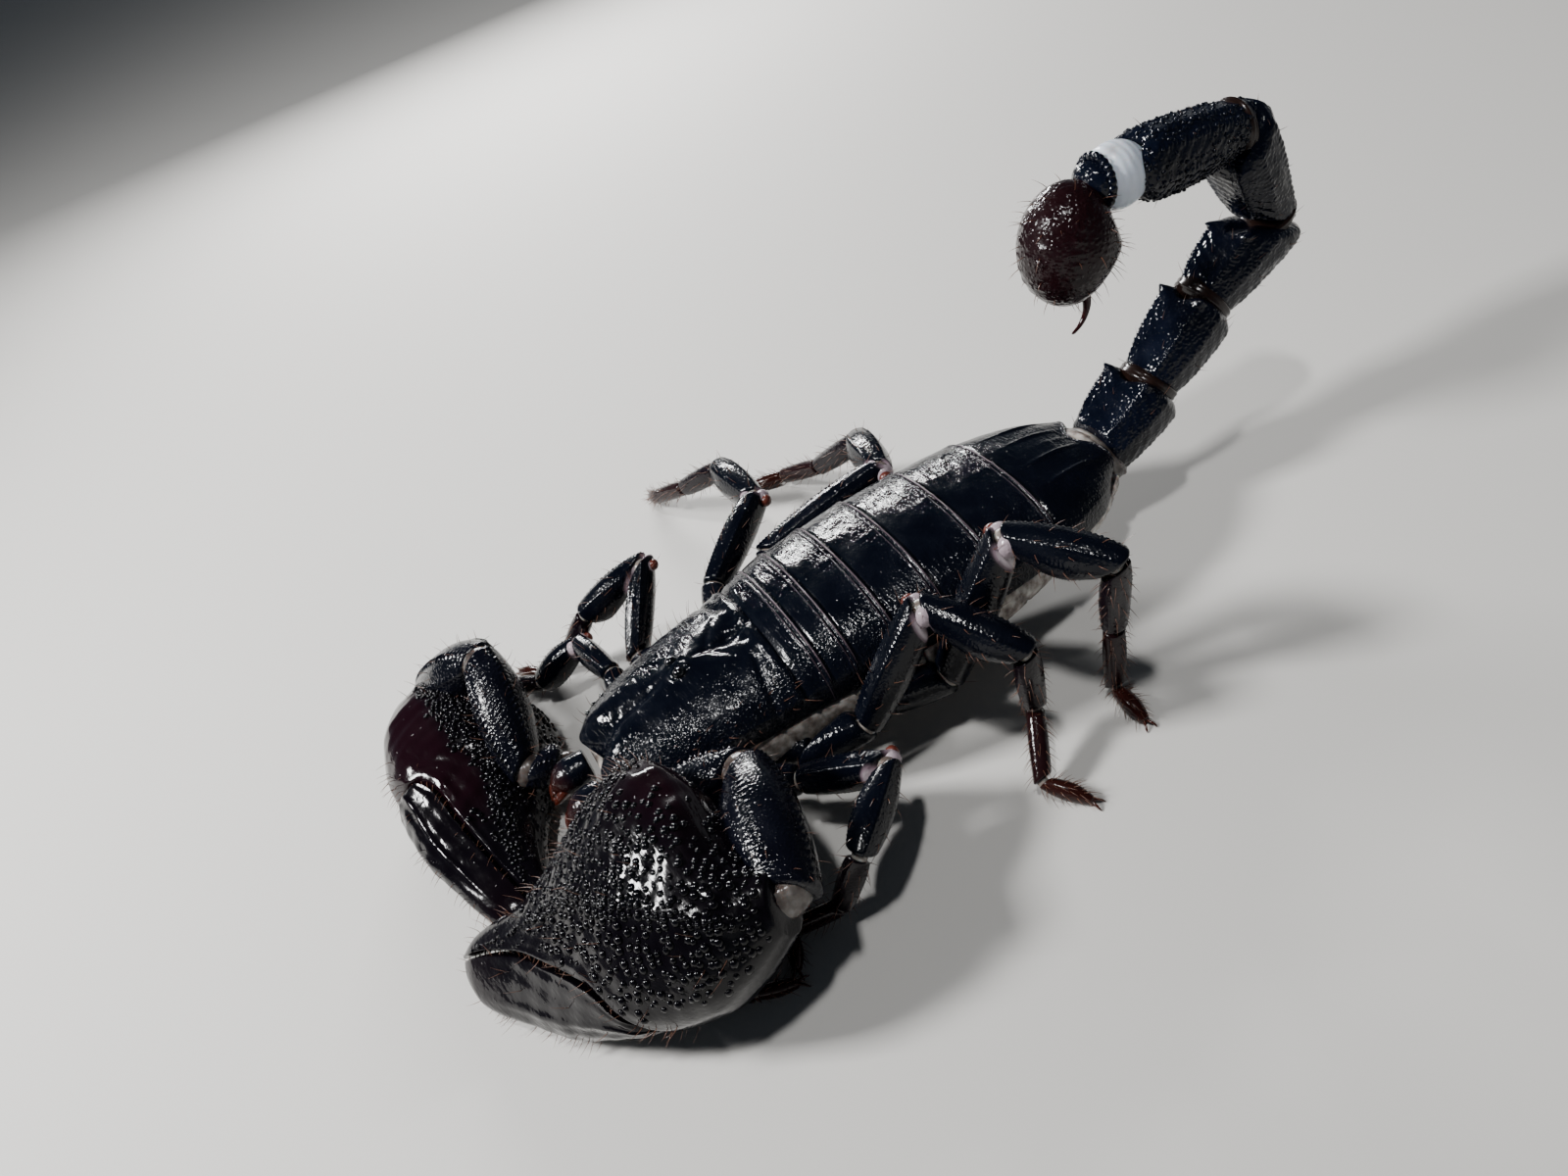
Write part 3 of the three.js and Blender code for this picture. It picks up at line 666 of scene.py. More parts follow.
def beads(found, radius, height, seed, sides=8):
    """Low domes: an outer ring sunk into the skin, an inner ring at three quarters of the height, a top."""
    places, normals, along, _ = found
    rng = np.random.default_rng(seed)
    count = len(places)
    size = (radius * rng.uniform(0.65, 1.2, count))[:, None, None]
    side = unit(np.cross(normals, along))[:, None]
    other = np.cross(normals, side[:, 0])[:, None]
    turn = np.arange(sides) * 2 * np.pi / sides
    ring = np.cos(turn)[None, :, None] * side + np.sin(turn)[None, :, None] * other
    up = normals[:, None] * height * (size / radius)
    middle = places[:, None]
    rows = [middle + ring * size - 0.4 * up, middle + ring * size * 0.72 + 0.62 * up, middle + up]
    points = np.concatenate(rows, 1)
    now, then = np.arange(sides), (np.arange(sides) + 1) % sides
    quads = np.stack([now, then, sides + then, sides + now], -1)
    tris = np.concatenate([np.stack([sides + now, sides + then, np.full(sides, 2 * sides)], -1),
                           np.stack([np.zeros(sides - 2, int), now[2:], now[1:-1]], -1)])
    per = 2 * sides + 1
    shift = (np.arange(count) * per)[:, None, None]
    shape = {"points": points.reshape(-1, 3), "quads": (quads[None] + shift).reshape(-1, 4),
             "tris": (tris[None] + shift).reshape(-1, 3)}
    return outward(shape)


print("points in one bristle:", SPIKE_POINTS, "and in one bead:", 2 * 8 + 1)

# %% [markdown]
# ## Trunk
# The trunk carries the head shield and seven back plates, each lapping over the next one like a roof tile.
# A plate could be cut out of one smooth body, but then its edges would have no thickness. So each plate is
# its own closed surface: a domed upper side over a flat lower side, with its front and rear edges rounded.

# %% Trunk measures and the plate formula
GAP = 0.3
TRUNK = {
    "y": [0.4, 4, 16, 27, 34, 47, 58, 66, 74, 81],
    "half": [7.4, 9.2, 11.9, 13.3, 14.4, 15.0, 14.6, 13.8, 11.6, 7.2],
    "edge": [11.2, 11.4, 12.2, 12.8, 13.1, 13.1, 13.0, 12.8, 12.5, 12.2],
    "back": [14.2, 16.8, 19.0, 20.0, 21.2, 21.5, 21.0, 20.2, 18.9, 16.8],
    "belly": [6.2, 5.6, 4.8, 4.6, 4.6, 4.8, 5.2, 5.8, 6.8, 8.4],
}


def trunk(key, y):
    """A measure of the trunk at a place: half width, height of the plates' edge, of the back or the belly."""
    return through(TRUNK["y"], TRUNK[key], y)


def stations(front, rear, corner, step, fine=0.0):
    """Places along a plate from front to rear, close together in its rounded edges and over the last fine
    millimetres, and how much each edge has rounded off there by a quarter circle."""
    turn = np.linspace(0, np.pi / 2, 5)
    ends = corner * (1 - np.cos(turn))
    last = rear - corner - fine
    y = np.concatenate([front + ends, np.arange(front + corner + step, last - step / 2, step),
                        np.arange(last, rear - corner - step / 3, step / 2)[:int(fine / step * 2)],
                        rear - ends[::-1]])
    inset = np.clip(np.minimum(y - front, rear - y) / corner, 0, 1)
    return y[:, None], (corner * (1 - quarter(inset)))[:, None]


def plate(front, rear, relief, lip=0.0, corner=0.25, step=0.2, across_points=150, shift=None, fine=0.0):
    """Domed plate across the back. Over the top x is the half width times the 0.9 power of a sine, and the
    height is the dome times the 0.85 power of the cosine; the underside is flat. lip raises the rear edge
    over the front one, and shift moves points along the body."""
    y, cut = stations(front, rear, corner, step, fine)
    angle = np.linspace(-np.pi / 2, np.pi / 2, across_points)[None]
    half, edge = trunk("half", y), trunk("edge", y) + GAP / 2
    rise = trunk("back", y) - edge + lip * ((y - front) / (rear - front) - 0.4)
    x = power(np.sin(angle), 0.9) * (half - cut)
    dome = (rise - cut) * np.maximum(np.cos(angle), 0) ** 0.85
    lift = relief(x, y + 0 * x, np.sin(angle) + 0 * x) * np.clip(1 - cut / corner, 0, 1)
    z = edge + dome + lift * np.minimum(1, np.cos(angle) * 4)
    under = np.linspace(1, -1, 12)[None, 1:-1] * (half - cut) * 0.985
    x = np.concatenate([x, under], 1)
    z = np.concatenate([z, edge + 0 * under], 1)
    rings = np.stack([x, y + 0 * x, z], -1)
    if shift is not None:
        rings[..., 1] += shift(x, y, np.concatenate([np.sin(angle) + 0 * y, np.sign(under) * 0.98], 1))
    return rings


print("width of the trunk in mm at its widest:", 2 * max(TRUNK["half"]))

# %% [markdown]
# ### Head shield
# The shield has a notched front edge with two lobes, a furrow down the middle that widens to a pit at the
# rear, a curved furrow on each side, and a low hill in the middle that carries the two main eyes under
# arched brows. All of these are heights added to the dome. Its middle is smooth and its sides are grainy.

# %% Head shield
def shield_relief(x, y, across):
    """Sum of furrows and hills. A furrow is a negative hump across its line, faded along the line."""
    out = np.abs(x)
    middle = -0.42 * hump(x, 0.5) * ramp(y, 17.5, 19.5)
    pit = -0.8 * hump(x, 1.3) * hump(y - 23.4, 2.0) - 0.3 * hump(out - 2.3, 0.8) * hump(y - 24.8, 1.2)
    front_groove = -0.35 * hump(x, 0.8) * ramp(y, 14, 11) * ramp(y, 1, 4)
    lobes = 0.5 * hump(out - 3.4, 2.2) * hump(y - 5.5, 5.0) + 0.4 * hump(out - 3.2, 2.0) * hump(y - 20, 4)
    hill = 0.95 * hump(x, 2.0) * hump(y - 16, 3.4)
    brows = 0.3 * hump(np.hypot(out - 1.2, (y - 15.7) * 0.8) - 0.95, 0.25) * (out < 1.5)
    side_furrow = -0.45 * hump(y - 24.7 + 0.25 * (out - 5), 0.6) * ramp(out, 4.5, 6.5)
    from_pit = -0.25 * hump(out - 1.1 * (y - 19.5), 0.8) * hump(y - 21.5, 2.0)
    rim = 0.22 * hump(np.abs(across) - 0.965, 0.02) + 0.25 * hump(y - 26.0, 0.4)
    waves = 0.05 * np.sin(x * 1.7 + np.sin(y * 1.1) * 1.5) * np.sin(y * 1.3 + np.cos(x * 0.9))
    waves = waves + 0.015 * np.sin(x * 4.1 + np.sin(y * 2.3) * 2) * np.sin(y * 3.7 + np.sin(x * 2.9) * 2)
    return middle + pit + front_groove + lobes + hill + brows + side_furrow + from_pit + rim + waves


def shield_edge(x, y, across):
    """Moves the front edge back in a notch at the middle and round the two corners."""
    t = (y - SHIELD_FRONT) / (SHIELD_REAR - SHIELD_FRONT)
    return 2.6 * hump(x, 2.4) * (1 - t) ** 4 + 3.2 * np.abs(across) ** 6 * (1 - t) ** 6


def shield_height(x, y):
    """Height of the finished shield at a place, for what stands on it."""
    edge = trunk("edge", y) + GAP / 2
    across = np.clip(np.abs(x) / trunk("half", y), 0, 1) ** (1 / 0.9)
    dome = (trunk("back", y) - edge) * np.sqrt(1 - across ** 2) ** 0.85
    return edge + dome + shield_relief(x, y, across)


shield = plate(SHIELD_FRONT, SHIELD_REAR, shield_relief, corner=0.35, across_points=170, shift=shield_edge)
off_middle = np.abs(shield[..., 0]) / trunk("half", np.clip(shield[..., 1], SHIELD_FRONT, 27))
head = [skin(shield, grain=np.clip(off_middle * 1.5 - 0.35, 0.12, 1))]
CORNER_EYES = np.array([[6.1, 3.3], [6.7, 4.6], [7.0, 6.0]])
for side in (-1, 1):
    centres = np.column_stack([side * CORNER_EYES[:, 0], CORNER_EYES[:, 1], shield_height(*CORNER_EYES.T)])
    head += [skin(ball(c, (0.34, 0.36, 0.26), rows=8, around=12)) for c in centres]
piece("head_shield", head, [SHELL, LENS], "shell", "carapace", finish_of=[0] + [1] * 6)
for label, side in SIDES:
    eye = skin(ball((side * 1.3, 15.6, 19.55), (0.78, 0.85, 0.78), rows=24, around=32))
    piece("main_eye_" + label, [eye], [LENS], "lens", "eye_" + label)
print("head shield points:", shield.shape[0] * shield.shape[1])

# %% [markdown]
# ### Back plates
# Each plate has a smooth sunken band in front, where the plate before it laps over, a faint ridge down the
# middle, and a fine double rim along its rear edge, which catches the light as two thin lines. On its upper
# side the rim is also painted pale, a painted highlight along these lines.

# %% Back plates
def back_relief(front, length, last):
    """Heights on a back plate. s is the way from its front edge and left the way to its rear edge."""
    def relief(x, y, across):
        s, left = y - front, front + length - y
        band = -0.45 * ramp(s, 1.26, 0.36)
        rims = 0.17 * hump(left - 0.32, 0.19) + 0.1 * hump(left - 0.95, 0.17) - 0.08 * hump(left - 0.63, 0.14)
        ridge = 0.12 * hump(x, 0.5) * ramp(s / length, 0.1875, 0.8125)
        hollows = -0.14 * hump(np.abs(x) - 5.2, 1.6) * hump(s - 0.45 * length, 0.3 * length)
        border = 0.16 * hump(np.abs(across) - 0.96, 0.022)
        creases = np.sin(x * 2.3 + 2 * np.sin(y * 0.8 + x * 0.35)) * np.sin(y * 2.9 + np.sin(x * 0.9) * 2)
        waves = np.sin(x * 0.8 + np.sin(y * 0.7) * 2 + front) * np.sin(y * 0.9 + x * 0.3)
        keel = 0.0
        for at in (3.0, 7.6) if last else ():
            keel = keel + 0.3 * hump(np.abs(x) - at * (1 - 0.25 * s / length), 0.35) * hump(s - 8.5, 3.6)
        return band + rims + ridge + hollows + border + 0.012 * creases + 0.03 * waves + keel
    return relief


def rear_corners(front, length, notch):
    """Rounds the rear corners: near the sides the rear edge moves forward with a high power of the width.
    The notch, in mm, is where the tail joins the last plate."""
    def shift(x, y, across):
        pulled = 0.14 * length * np.abs(across) ** 10 + notch * hump(x, 3.2)
        return -pulled * ramp(y, front, front + length) ** 3
    return shift


PLATE_LENGTHS = [3.5, 3.8, 6.2, 7.1, 8.6, 9.7, 15.0]
# Each plate starts UNDER mm before its place, below the plate in front, and all but the last one lap on.
UNDER, LAP = 0.45, 0.3
front = 27.0
for i, length in enumerate(PLATE_LENGTHS):
    last = i == len(PLATE_LENGTHS) - 1
    rear = front + length + (0.0 if last else LAP)
    rings = plate(front - UNDER, rear, back_relief(front - UNDER, rear - front + UNDER, last), lip=0.35,
                  corner=0.14, step=0.16, across_points=190, fine=1.2,
                  shift=rear_corners(front, length, 2.4 if last else 0.0))
    x, y, z = np.moveaxis(rings, -1, 0)
    grain = np.clip(0.15 + 0.7 * ramp(y, front, front + length) ** 2
                    + 0.5 * (np.abs(x) / trunk("half", y)) ** 4, 0, 1)
    # The two rims are painted pale on the upper side: a painted highlight along the rear edge.
    rim_painted_highlight = 0.3 * hump(rear - y - 0.3, 0.11) + 0.16 * hump(rear - y - 0.95, 0.1)
    piece(f"back_plate_{i + 1}", [skin(rings, grain=grain, pale=np.where(z > trunk("edge", y), rim_painted_highlight, 0))],
          [SHELL], "shell", f"tergite_{i + 1}")
    front += length
print("back plates end at y =", round(front, 1), "mm")

# %% [markdown]
# ### Underside
# Below the back lies the soft pleated side skin, greyish white, then the hard plates of the belly and the
# coxae, the first leg segments, which in a scorpion don't move and form the floor of the chest. The skin
# is one tube along the whole belly, and the plates are thin closed strips laid on it.

# %% Underside
def hull(y, angle, proud=0.0):
    """Point of the underside: the depth follows the 0.7 power of the cosine, so that the belly is flat."""
    edge = trunk("edge", y) - GAP / 2
    across = power(np.sin(angle), 0.8) * (trunk("half", y) - 0.9 + proud)
    depth = (edge - trunk("belly", y) + proud) * np.maximum(0, -np.cos(angle)) ** 0.7
    return across, edge - depth


def soft_trunk(front, rear):
    """Tube of soft skin, swollen at its sides between the plates, with a sharp fold every 5 mm."""
    y, cut = stations(front, rear, 0.4, 0.16)
    angle = np.linspace(0, 2 * np.pi, 96, endpoint=False)[None]
    swollen = 1.5 * hump(np.abs(round_from(angle)) - 1.85, 0.35) * ramp(y, 8, 22) * ramp(y, 66, 52)
    x, z = hull(y + 0 * angle, angle, swollen)
    pleat = 1 - (0.3 * hump((y + 2.4 * np.sin(angle * 2)) % 5 - 2.5, 0.22) + cut) / trunk("half", y)
    return np.stack([x * pleat, y + 0 * x, z + cut * np.sign(-np.cos(angle)) * 0.5], -1)


def strip(front, rear, reach, proud=0.25, rim=0.12):
    """Thin hard plate round the belly from one side to the other, reach degrees each way from below."""
    y, cut = stations(front, rear, 0.15, 0.3)
    angle = np.radians(np.linspace(180 - reach, 180 + reach, 60))[None]
    edge_fade = ramp(np.abs(np.degrees(angle) - 180), reach, reach - 4)
    x1, z1 = hull(y + 0 * angle, angle, proud * edge_fade - cut + rim * hump(rear - y - 0.4, 0.2))
    x2, z2 = hull(y + 0 * angle[:, ::-1], angle[:, ::-1], -0.35)
    return np.concatenate([np.stack([x1, y + 0 * x1, z1], -1), np.stack([x2, y + 0 * x2, z2], -1)], 1)


BELLY_CUTS = [42.95, 49.6, 56.6, 63.6, 70.4, 80.6]
BREATH_SLITS = [46.5, 53.4, 60.4, 67.2]
sternites = [skin(strip(a + 0.1, b - 0.1, 56), grain=0.2) for a, b in zip(BELLY_CUTS[:-1], BELLY_CUTS[1:])]
breath = []
for side in (-1, 1):
    for y in BREATH_SLITS:
        _, depth = hull(np.array(y), np.radians(180 - side * 38))
        slit = ball((side * 7.4, y, depth - 0.05), (1.1, 0.45, 0.25), rows=8, around=14)
        breath.append(skin(slit, pale=0.55))
piece("belly_skin_and_plates", [skin(soft_trunk(42.8, 80.9))] + sternites + breath, [MEMBRANE, SHELL],
      "membrane", "belly", finish_of=[0] + [1] * (len(sternites) + len(breath)))

LEG_HIPS = [(12.8, 8.5, 7.5), (13.8, 17.0, 8.0), (14.4, 25.5, 8.3), (14.2, 38.0, 8.3)]
COXA_ROOTS = [(2.6, 3.5, 7.2), (2.4, 9.5, 6.7), (2.2, 16.5, 6.5), (2.4, 24.5, 6.6)]
coxae = []
for root, hip, half_width in zip(COXA_ROOTS, LEG_HIPS, (2.9, 3.1, 3.4, 4.3)):
    a, b = np.array(root), np.array(hip) - [1.0, 0, 0]
    way = unit(b - a)
    for side in (-1, 1):
        rings, _, _, _ = article(a, b, (0, 0, 1), way, way, half_width, 2.3, bulge(0.75, 0.6, 0.72),
                                 corner=0.6, relief=keels(in_pairs((150, 0.25, 9)), 0.7))
        coxae.append(mirror(skin(rings, grain=0.4), side))
chest = ball((0, 27.5, 5.6), (1.9, 3.4, 0.9), rows=12, around=20)
lid = ball((0, 33.5, 5.4), (2.6, 1.9, 0.8), rows=12, around=20)
piece("chest_and_coxae", [skin(soft_trunk(1.0, 42.5), warm=0.3)] + coxae + [skin(chest), skin(lid, warm=0.4)],
      [MEMBRANE, SHELL], "shell", "coxae_and_sternum", finish_of=[0] + [1] * (len(coxae) + 2))
print("belly plates:", len(sternites), "coxae:", len(coxae))

# %% [markdown]
# ### Combs
# Scorpions feel the ground with two combs under the belly. Each is a jointed stem with a row of blunt teeth.
# The teeth are short tubes along curved paths, which is also how fingers, fangs and foot claws are made.

# %% Tubes along a path, and the combs
def along_path(path, radii, up=(0, 0, 1), around=12, flat=1.0):
    """Tube along a path of points with a radius at each: the section lies square to the local direction,
    and flat is its height over its width."""
    path, radii = np.asarray(path, float), np.asarray(radii, float)[:, None]
    way = unit(np.gradient(path, axis=0))
    side = unit(np.cross(way, np.asarray(up, float)))
    top = np.cross(side, way)
    theta = np.linspace(0, 2 * np.pi, around, endpoint=False)[None]
    return (path[:, None] + (np.sin(theta) * radii)[..., None] * side[:, None]
            + (np.cos(theta) * radii * flat)[..., None] * top[:, None])


def curve(points, count):
    """Points evenly spread over a smooth curve through a few named ones, coordinate by coordinate."""
    points = np.asarray(points, float)
    run = np.concatenate([[0], np.cumsum(np.linalg.norm(np.diff(points, axis=0), axis=1))])
    at = np.linspace(0, run[-1], count)
    return np.stack([through(run, points[:, i], at) for i in range(3)], -1)


def rounded(count, start, end, blunt=0.25):
    """Radii from start to end that close in a rounded tip over the last blunt part."""
    t = np.linspace(0, 1, count)
    r = start + (end - start) * t
    return np.maximum(r * np.sqrt(np.maximum(0, 1 - ramp(t, 1 - blunt, 1) ** 2)), 0.02)


COMB_ROOT, COMB_SWEEP, COMB_TEETH = np.array([2.2, 44.4, 3.6]), np.radians(24), 14
out = np.array([np.cos(COMB_SWEEP), np.sin(COMB_SWEEP), 0])
back = np.array([-np.sin(COMB_SWEEP), np.cos(COMB_SWEEP), 0])
stem = curve([COMB_ROOT + out * 0.2, COMB_ROOT + out * 5.7, COMB_ROOT + out * 11.2], 24) + back * 0.65
comb = [skin(along_path(stem, rounded(24, 0.75, 0.45), around=14, flat=0.36))]
for i in range(COMB_TEETH):
    foot = COMB_ROOT + out * (0.8 + 0.75 * i) + back * 1.1
    comb.append(skin(along_path(curve([foot, foot + back * 1.0, foot + back * 1.75], 8),
                                rounded(8, 0.33, 0.26, 0.5), around=8, flat=0.8)))
for label, side in SIDES:
    piece("comb_plate_" + label, [mirror(part, side) for part in comb], [COMB], "comb", "comb_" + label)
print("teeth on each comb:", COMB_TEETH)

# %% [markdown]
# ### Chelicerae
# Two short three-part mouth pincers stick out under the front edge of the shield. Each has a blunt body
# with a fixed finger, and a movable finger hooked beside it, both ending in red brown teeth.

# %% Chelicerae
PINCER_X = 3.1
# The two fingers of a pincer: sideways from its middle, reach in front of the shield, and drop, in mm.
PINCER_FINGERS = ((-1.0, 6.5, 0.6), (1.05, 6.6, 0.9))
t = np.linspace(0, 1, 34)
spine = np.stack([PINCER_X + 0.15 * np.sin(t * 3), -5.3 * t, 10.4 - 1.1 * t ** 2], -1)
girth = 2.6 * np.sqrt(np.clip(1 - ramp(t, 0.5, 1.06) ** 2, 0.05, 1)) * (0.86 + 0.14 * np.sin(t * 3))
body = along_path(spine, girth, around=28, flat=0.96)
pincer, finish = [skin(body, grain=0.25, warm=np.clip(t * 1.4 - 0.6, 0, 0.8)[:, None])], [0]
for shift, reach, drop in PINCER_FINGERS:
    finger = curve([(PINCER_X + shift, -3.4, 9.9), (PINCER_X + shift * 1.25, -5.2, 9.2),
                    (PINCER_X + shift * 0.55, -reach, 8.4 - drop)], 18)
    pincer.append(skin(along_path(finger, rounded(18, 1.05, 0.3, 0.4), around=14)))
    inward = np.array([np.sign(shift) * 0.55, 0, 0.1])
    teeth = [skin(ball(p - inward, (0.35, 0.28, 0.28), rows=6, around=8)) for p in finger[5:15:3]]
    pincer += teeth
    finish += [1] * (1 + len(teeth))
for label, side in SIDES:
    piece("mouth_pincer_" + label, [mirror(part, side) for part in pincer], [SHELL, CLAW_TIP], "shell",
          "chelicera_" + label, finish_of=finish)
print("chelicerae reach", max(reach for _, reach, _ in PINCER_FINGERS), "mm in front of the head")

# %% [markdown]
# ## Tail
# Five rings and the bulb with the sting. Each ring is a tube with eight keels: a pair along the top, one
# high and one low on each side, and a pair below, all beaded, the upper ones ending in a small spine. The
# rings bend at soft joints, so a ball of skin shows between them on the outside of a bend.

# %% Measures and relief of the tail
def forward(slope):
    """Direction in the midline plane: 0 toward the tail, 90 up, 180 toward the head."""
    return np.array([0.0, np.cos(np.radians(slope)), np.sin(np.radians(slope))])


RIGHT = np.array([1.0, 0.0, 0.0])
TAIL_ROOT = (0.0, 81.3, 12.5)
# The rings of the tail: length, slope, width and height.
TAIL = [(12.4, 28, 12.6, 10.4), (12.9, 36, 11.2, 10.0), (13.2, 29, 10.6, 10.4), (15.2, 107, 9.8, 9.8),
        (21.6, 171, 9.4, 9.4)]
BULB = {"start": 1.2, "length": 13.8, "width": 12.8, "height": 12.8, "slope": (205, 300), "neck": 2.6,
        "end": 1.3}
STING = {"length": 7.0, "tip": 0.3, "slope": (300, 190)}


def ring_swell(t):
    """Share of the girth: it rises by a quarter sine from the waist and falls off by a square at the end."""
    share = (0.78 + 0.22 * np.sin(np.minimum(1, t * 1.25) * np.pi / 2)) * (1 - 0.24 * ramp(t, 0.86, 1) ** 2)
    return share, share


def tail_relief(number):
    """Beaded keels, a furrow along the top, and a spine at the far end of each upper keel."""
    lines = keels(in_pairs((38, 0.42, 7), (80, 0.3, 7), (128, 0.28, 8), (163, 0.25, 7)), pitch=0.75,
                  beads=0.2)

    def relief(theta, t, s):
        away = round_from(theta)
        furrow = -0.6 * hump(away, 0.46) * np.sin(np.pi * np.clip(t, 0, 1)) ** 0.4
        spine = 0.9 * hump(np.abs(away) - np.radians(38), 0.13) * hump(t - 0.93, 0.06) * (number < 4)
        rough = 0.07 * np.sin(theta * 7 + s) * np.sin(s * 1.9 + theta * 3)
        return lines(theta, t, s) - 0.3 + furrow + spine + rough
    return relief


def open_back(theta):
    """The far end is cut back along the top, where the ring opens over the next one."""
    return 1.3 * hump(round_from(theta), 0.42)


def open_below(theta):
    """The last ring is cut back on its lower side, which the raised tail turns upward."""
    return 3.4 * hump(theta - np.pi, 0.75)


print("tail from trunk to bulb in mm:", round(sum(length for length, _, _, _ in TAIL), 1))

# %% [markdown]
# ### Soft skin in the tail
# The rings are hard, so the tail bends only at the skin between them. On the back of the first joint a white
# spot of it shows, pale skin with a painted highlight, and the open end of the last ring is filled by a
# bulging white skin, partly a painted highlight, with a crest of hard teeth round its far side.

# %% Soft skin in the tail
def neck_skin(joint, width, height, dorsal, near, first):
    """Pleated ball of soft skin at a ring's near end, with a white spot on its back: pale skin with a painted
    highlight. It is longest where the tail leaves the trunk."""
    across, high, along = (0.44, 0.5, 3.2) if first else (0.4, 0.42, 2.1)
    neck = ball(joint, (width * across, height * high, along), axes=[RIGHT, dorsal, near], rows=30, around=40,
                pleats=0.02)
    # The upper side turns white: pale skin, with a painted highlight on top.
    pale_top_and_highlight = ((neck - joint) @ dorsal > 0) * hump(neck[..., 0], 2.6)
    return skin(neck, warm=0.92 - 0.8 * pale_top_and_highlight)


def white_skin_and_highlight(end, dorsal, way):
    """The white skin in the open end of the last ring, partly a painted highlight, with a brownish blush on
    one side.
    """
    middle = end - way * 2.6
    cap = ball(middle, (3.9, 4.15, 4.4), axes=[RIGHT, dorsal, way], rows=40, around=48)
    blush = hump(cap[..., 0] - 0.9, 1.0) * hump((cap - middle) @ way - 1.4, 1.1)
    # The pale field makes the cap bluish white: partly white skin, partly a painted highlight.
    return skin(cap, warm=0.35 * blush, pale=0.95 - 0.6 * blush)


def arch_teeth(end, dorsal, way):
    """A crest of hard blunt teeth round the far side of the white skin."""
    made = []
    for turn in np.radians(np.arange(0, 360, 15)):
        side = np.cos(turn) * RIGHT + np.sin(turn) * dorsal
        tooth = ball(end + side * 3.15 + way * 0.4, (0.6, 0.6, 0.65), rows=10, around=14)
        made.append(skin(tooth, grain=0.6))
    return made


print("teeth of the crest:", len(arch_teeth(np.zeros(3), RIGHT, RIGHT)))

# %% [markdown]
# ### The five rings
# Each ring is cut on the slant at both ends, halfway between its own direction and its neighbour's. The
# first three open a little toward the back, so that the tail can rise, and the last one opens below.

# %% The five rings
TRIMS = (open_back, open_back, open_back, None, open_below)
slopes = [forward(slope) for _, slope, _, _ in TAIL] + [forward(BULB["slope"][0])]
joint = np.array(TAIL_ROOT)
tail_skins, tail_joints = [], [joint]
for i, (length, slope, width, height) in enumerate(TAIL):
    last, way = i == len(TAIL) - 1, slopes[i]
    end = joint + way * length
    near = np.array([0.0, 1.0, 0.0]) if i == 0 else mitre(slopes[i - 1], way)
    dorsal = np.cross(RIGHT, way)
    rings, theta, t, _ = article(joint, end, dorsal, near, mitre(way, slopes[i + 1]), width / 2, height / 2,
                                 ring_swell, relief=tail_relief(i + 1), gaps=(0.45, 3.6 if last else 0.4),
                                 corner=0.8, around=112, step=0.2, trim=TRIMS[i])
    grain = 0.35 + 0.5 * hump(np.abs(round_from(theta)) - np.radians(60), 0.5) + 0 * t
    hard, crest = [skin(rings, grain=grain)], []
    soft = [neck_skin(joint, width, height, dorsal, near, i == 0)]
    if last:
        hard.append(beads(scatter(rings, 0.85, 31, few(0.7)), 0.3, 0.26, 32))
        soft.append(white_skin_and_highlight(end, dorsal, way))
        crest = arch_teeth(end, dorsal, way)
    finish = [0] * len(hard) + [2 if i else 1] + [1] * (len(soft) - 1) + [0] * len(crest)
    piece(f"tail_ring_{i + 1}", hard + soft + crest, [TAIL_SHELL, MEMBRANE, DARK_JOINT], "shell",
          f"tail_{i + 1}", finish_of=finish)
    tail_skins.append(rings)
    tail_joints.append(end)
    joint = end
print("tail joints in mm:", [tuple(p.round(1)) for p in tail_joints])

# %% [markdown]
# ### Bulb and sting
# The bulb holds the venom glands. It is dark red, and rows of granules run along its lower side. Bulb and
# sting follow curves that turn steadily, so their rings fan out instead of lying parallel.

# %% Bulb and sting
def bent(start, length, slope, radius, around, steps, relief=None):
    """Tube along a curve in the midline plane whose direction turns evenly between two slopes."""
    t = np.linspace(0, 1, steps + 1)
    angle = slope[0] + (slope[1] - slope[0]) * (t[:-1] + 0.5 / steps)
    moves = np.stack([0 * angle, np.cos(np.radians(angle)), np.sin(np.radians(angle))], -1) * length / steps
    path = np.concatenate([[start], start + np.cumsum(moves, 0)])
    here = np.radians(slope[0] + (slope[1] - slope[0]) * t)
    way = np.stack([0 * here, np.cos(here), np.sin(here)], -1)
    top = np.cross(RIGHT, way)
    theta = np.linspace(0, 2 * np.pi, around, endpoint=False)[None]
    wide, tall = radius(t[:, None])
    lift = 0 if relief is None else relief(theta, t[:, None])
    return (path[:, None] + (np.sin(theta) * (wide + lift))[..., None] * RIGHT
            + (np.cos(theta) * (tall + lift))[..., None] * top[:, None]), path[-1], way[-1]


def bulb_radius(t):
    """Half of an ellipse, but no thinner than the neck and the end, with both ends rounded off."""
    round_part = np.sqrt(np.maximum(0, 1 - ((t - 0.5) / 0.51) ** 2))
    least = np.where(t < 0.5, BULB["neck"], BULB["end"])
    close = 1.0
    for inside, tip in ((0.02, 0), (0.98, 1)):
        close = close * np.sqrt(np.clip(1 - ramp(t, inside, tip) ** 2, 0.02, 1))
    return [np.maximum(least, round_part * BULB[key] / 2) * close for key in ("width", "height")]


def bulb_relief(theta, t):
    """Rows of granules, a wave along and round the lower side, and a shallow groove down each side."""
    low = np.clip(-np.cos(theta) + 0.5, 0, 1)
    rows = 0.16 * low * np.maximum(0, np.cos(theta * 9)) * np.maximum(0, np.cos(t * 2 * np.pi * 13))
    groove = -0.15 * hump(np.abs(theta - np.pi) - 1.2, 0.2)
    return (rows + groove) * np.sin(np.pi * np.clip(t, 0, 1)) ** 0.7


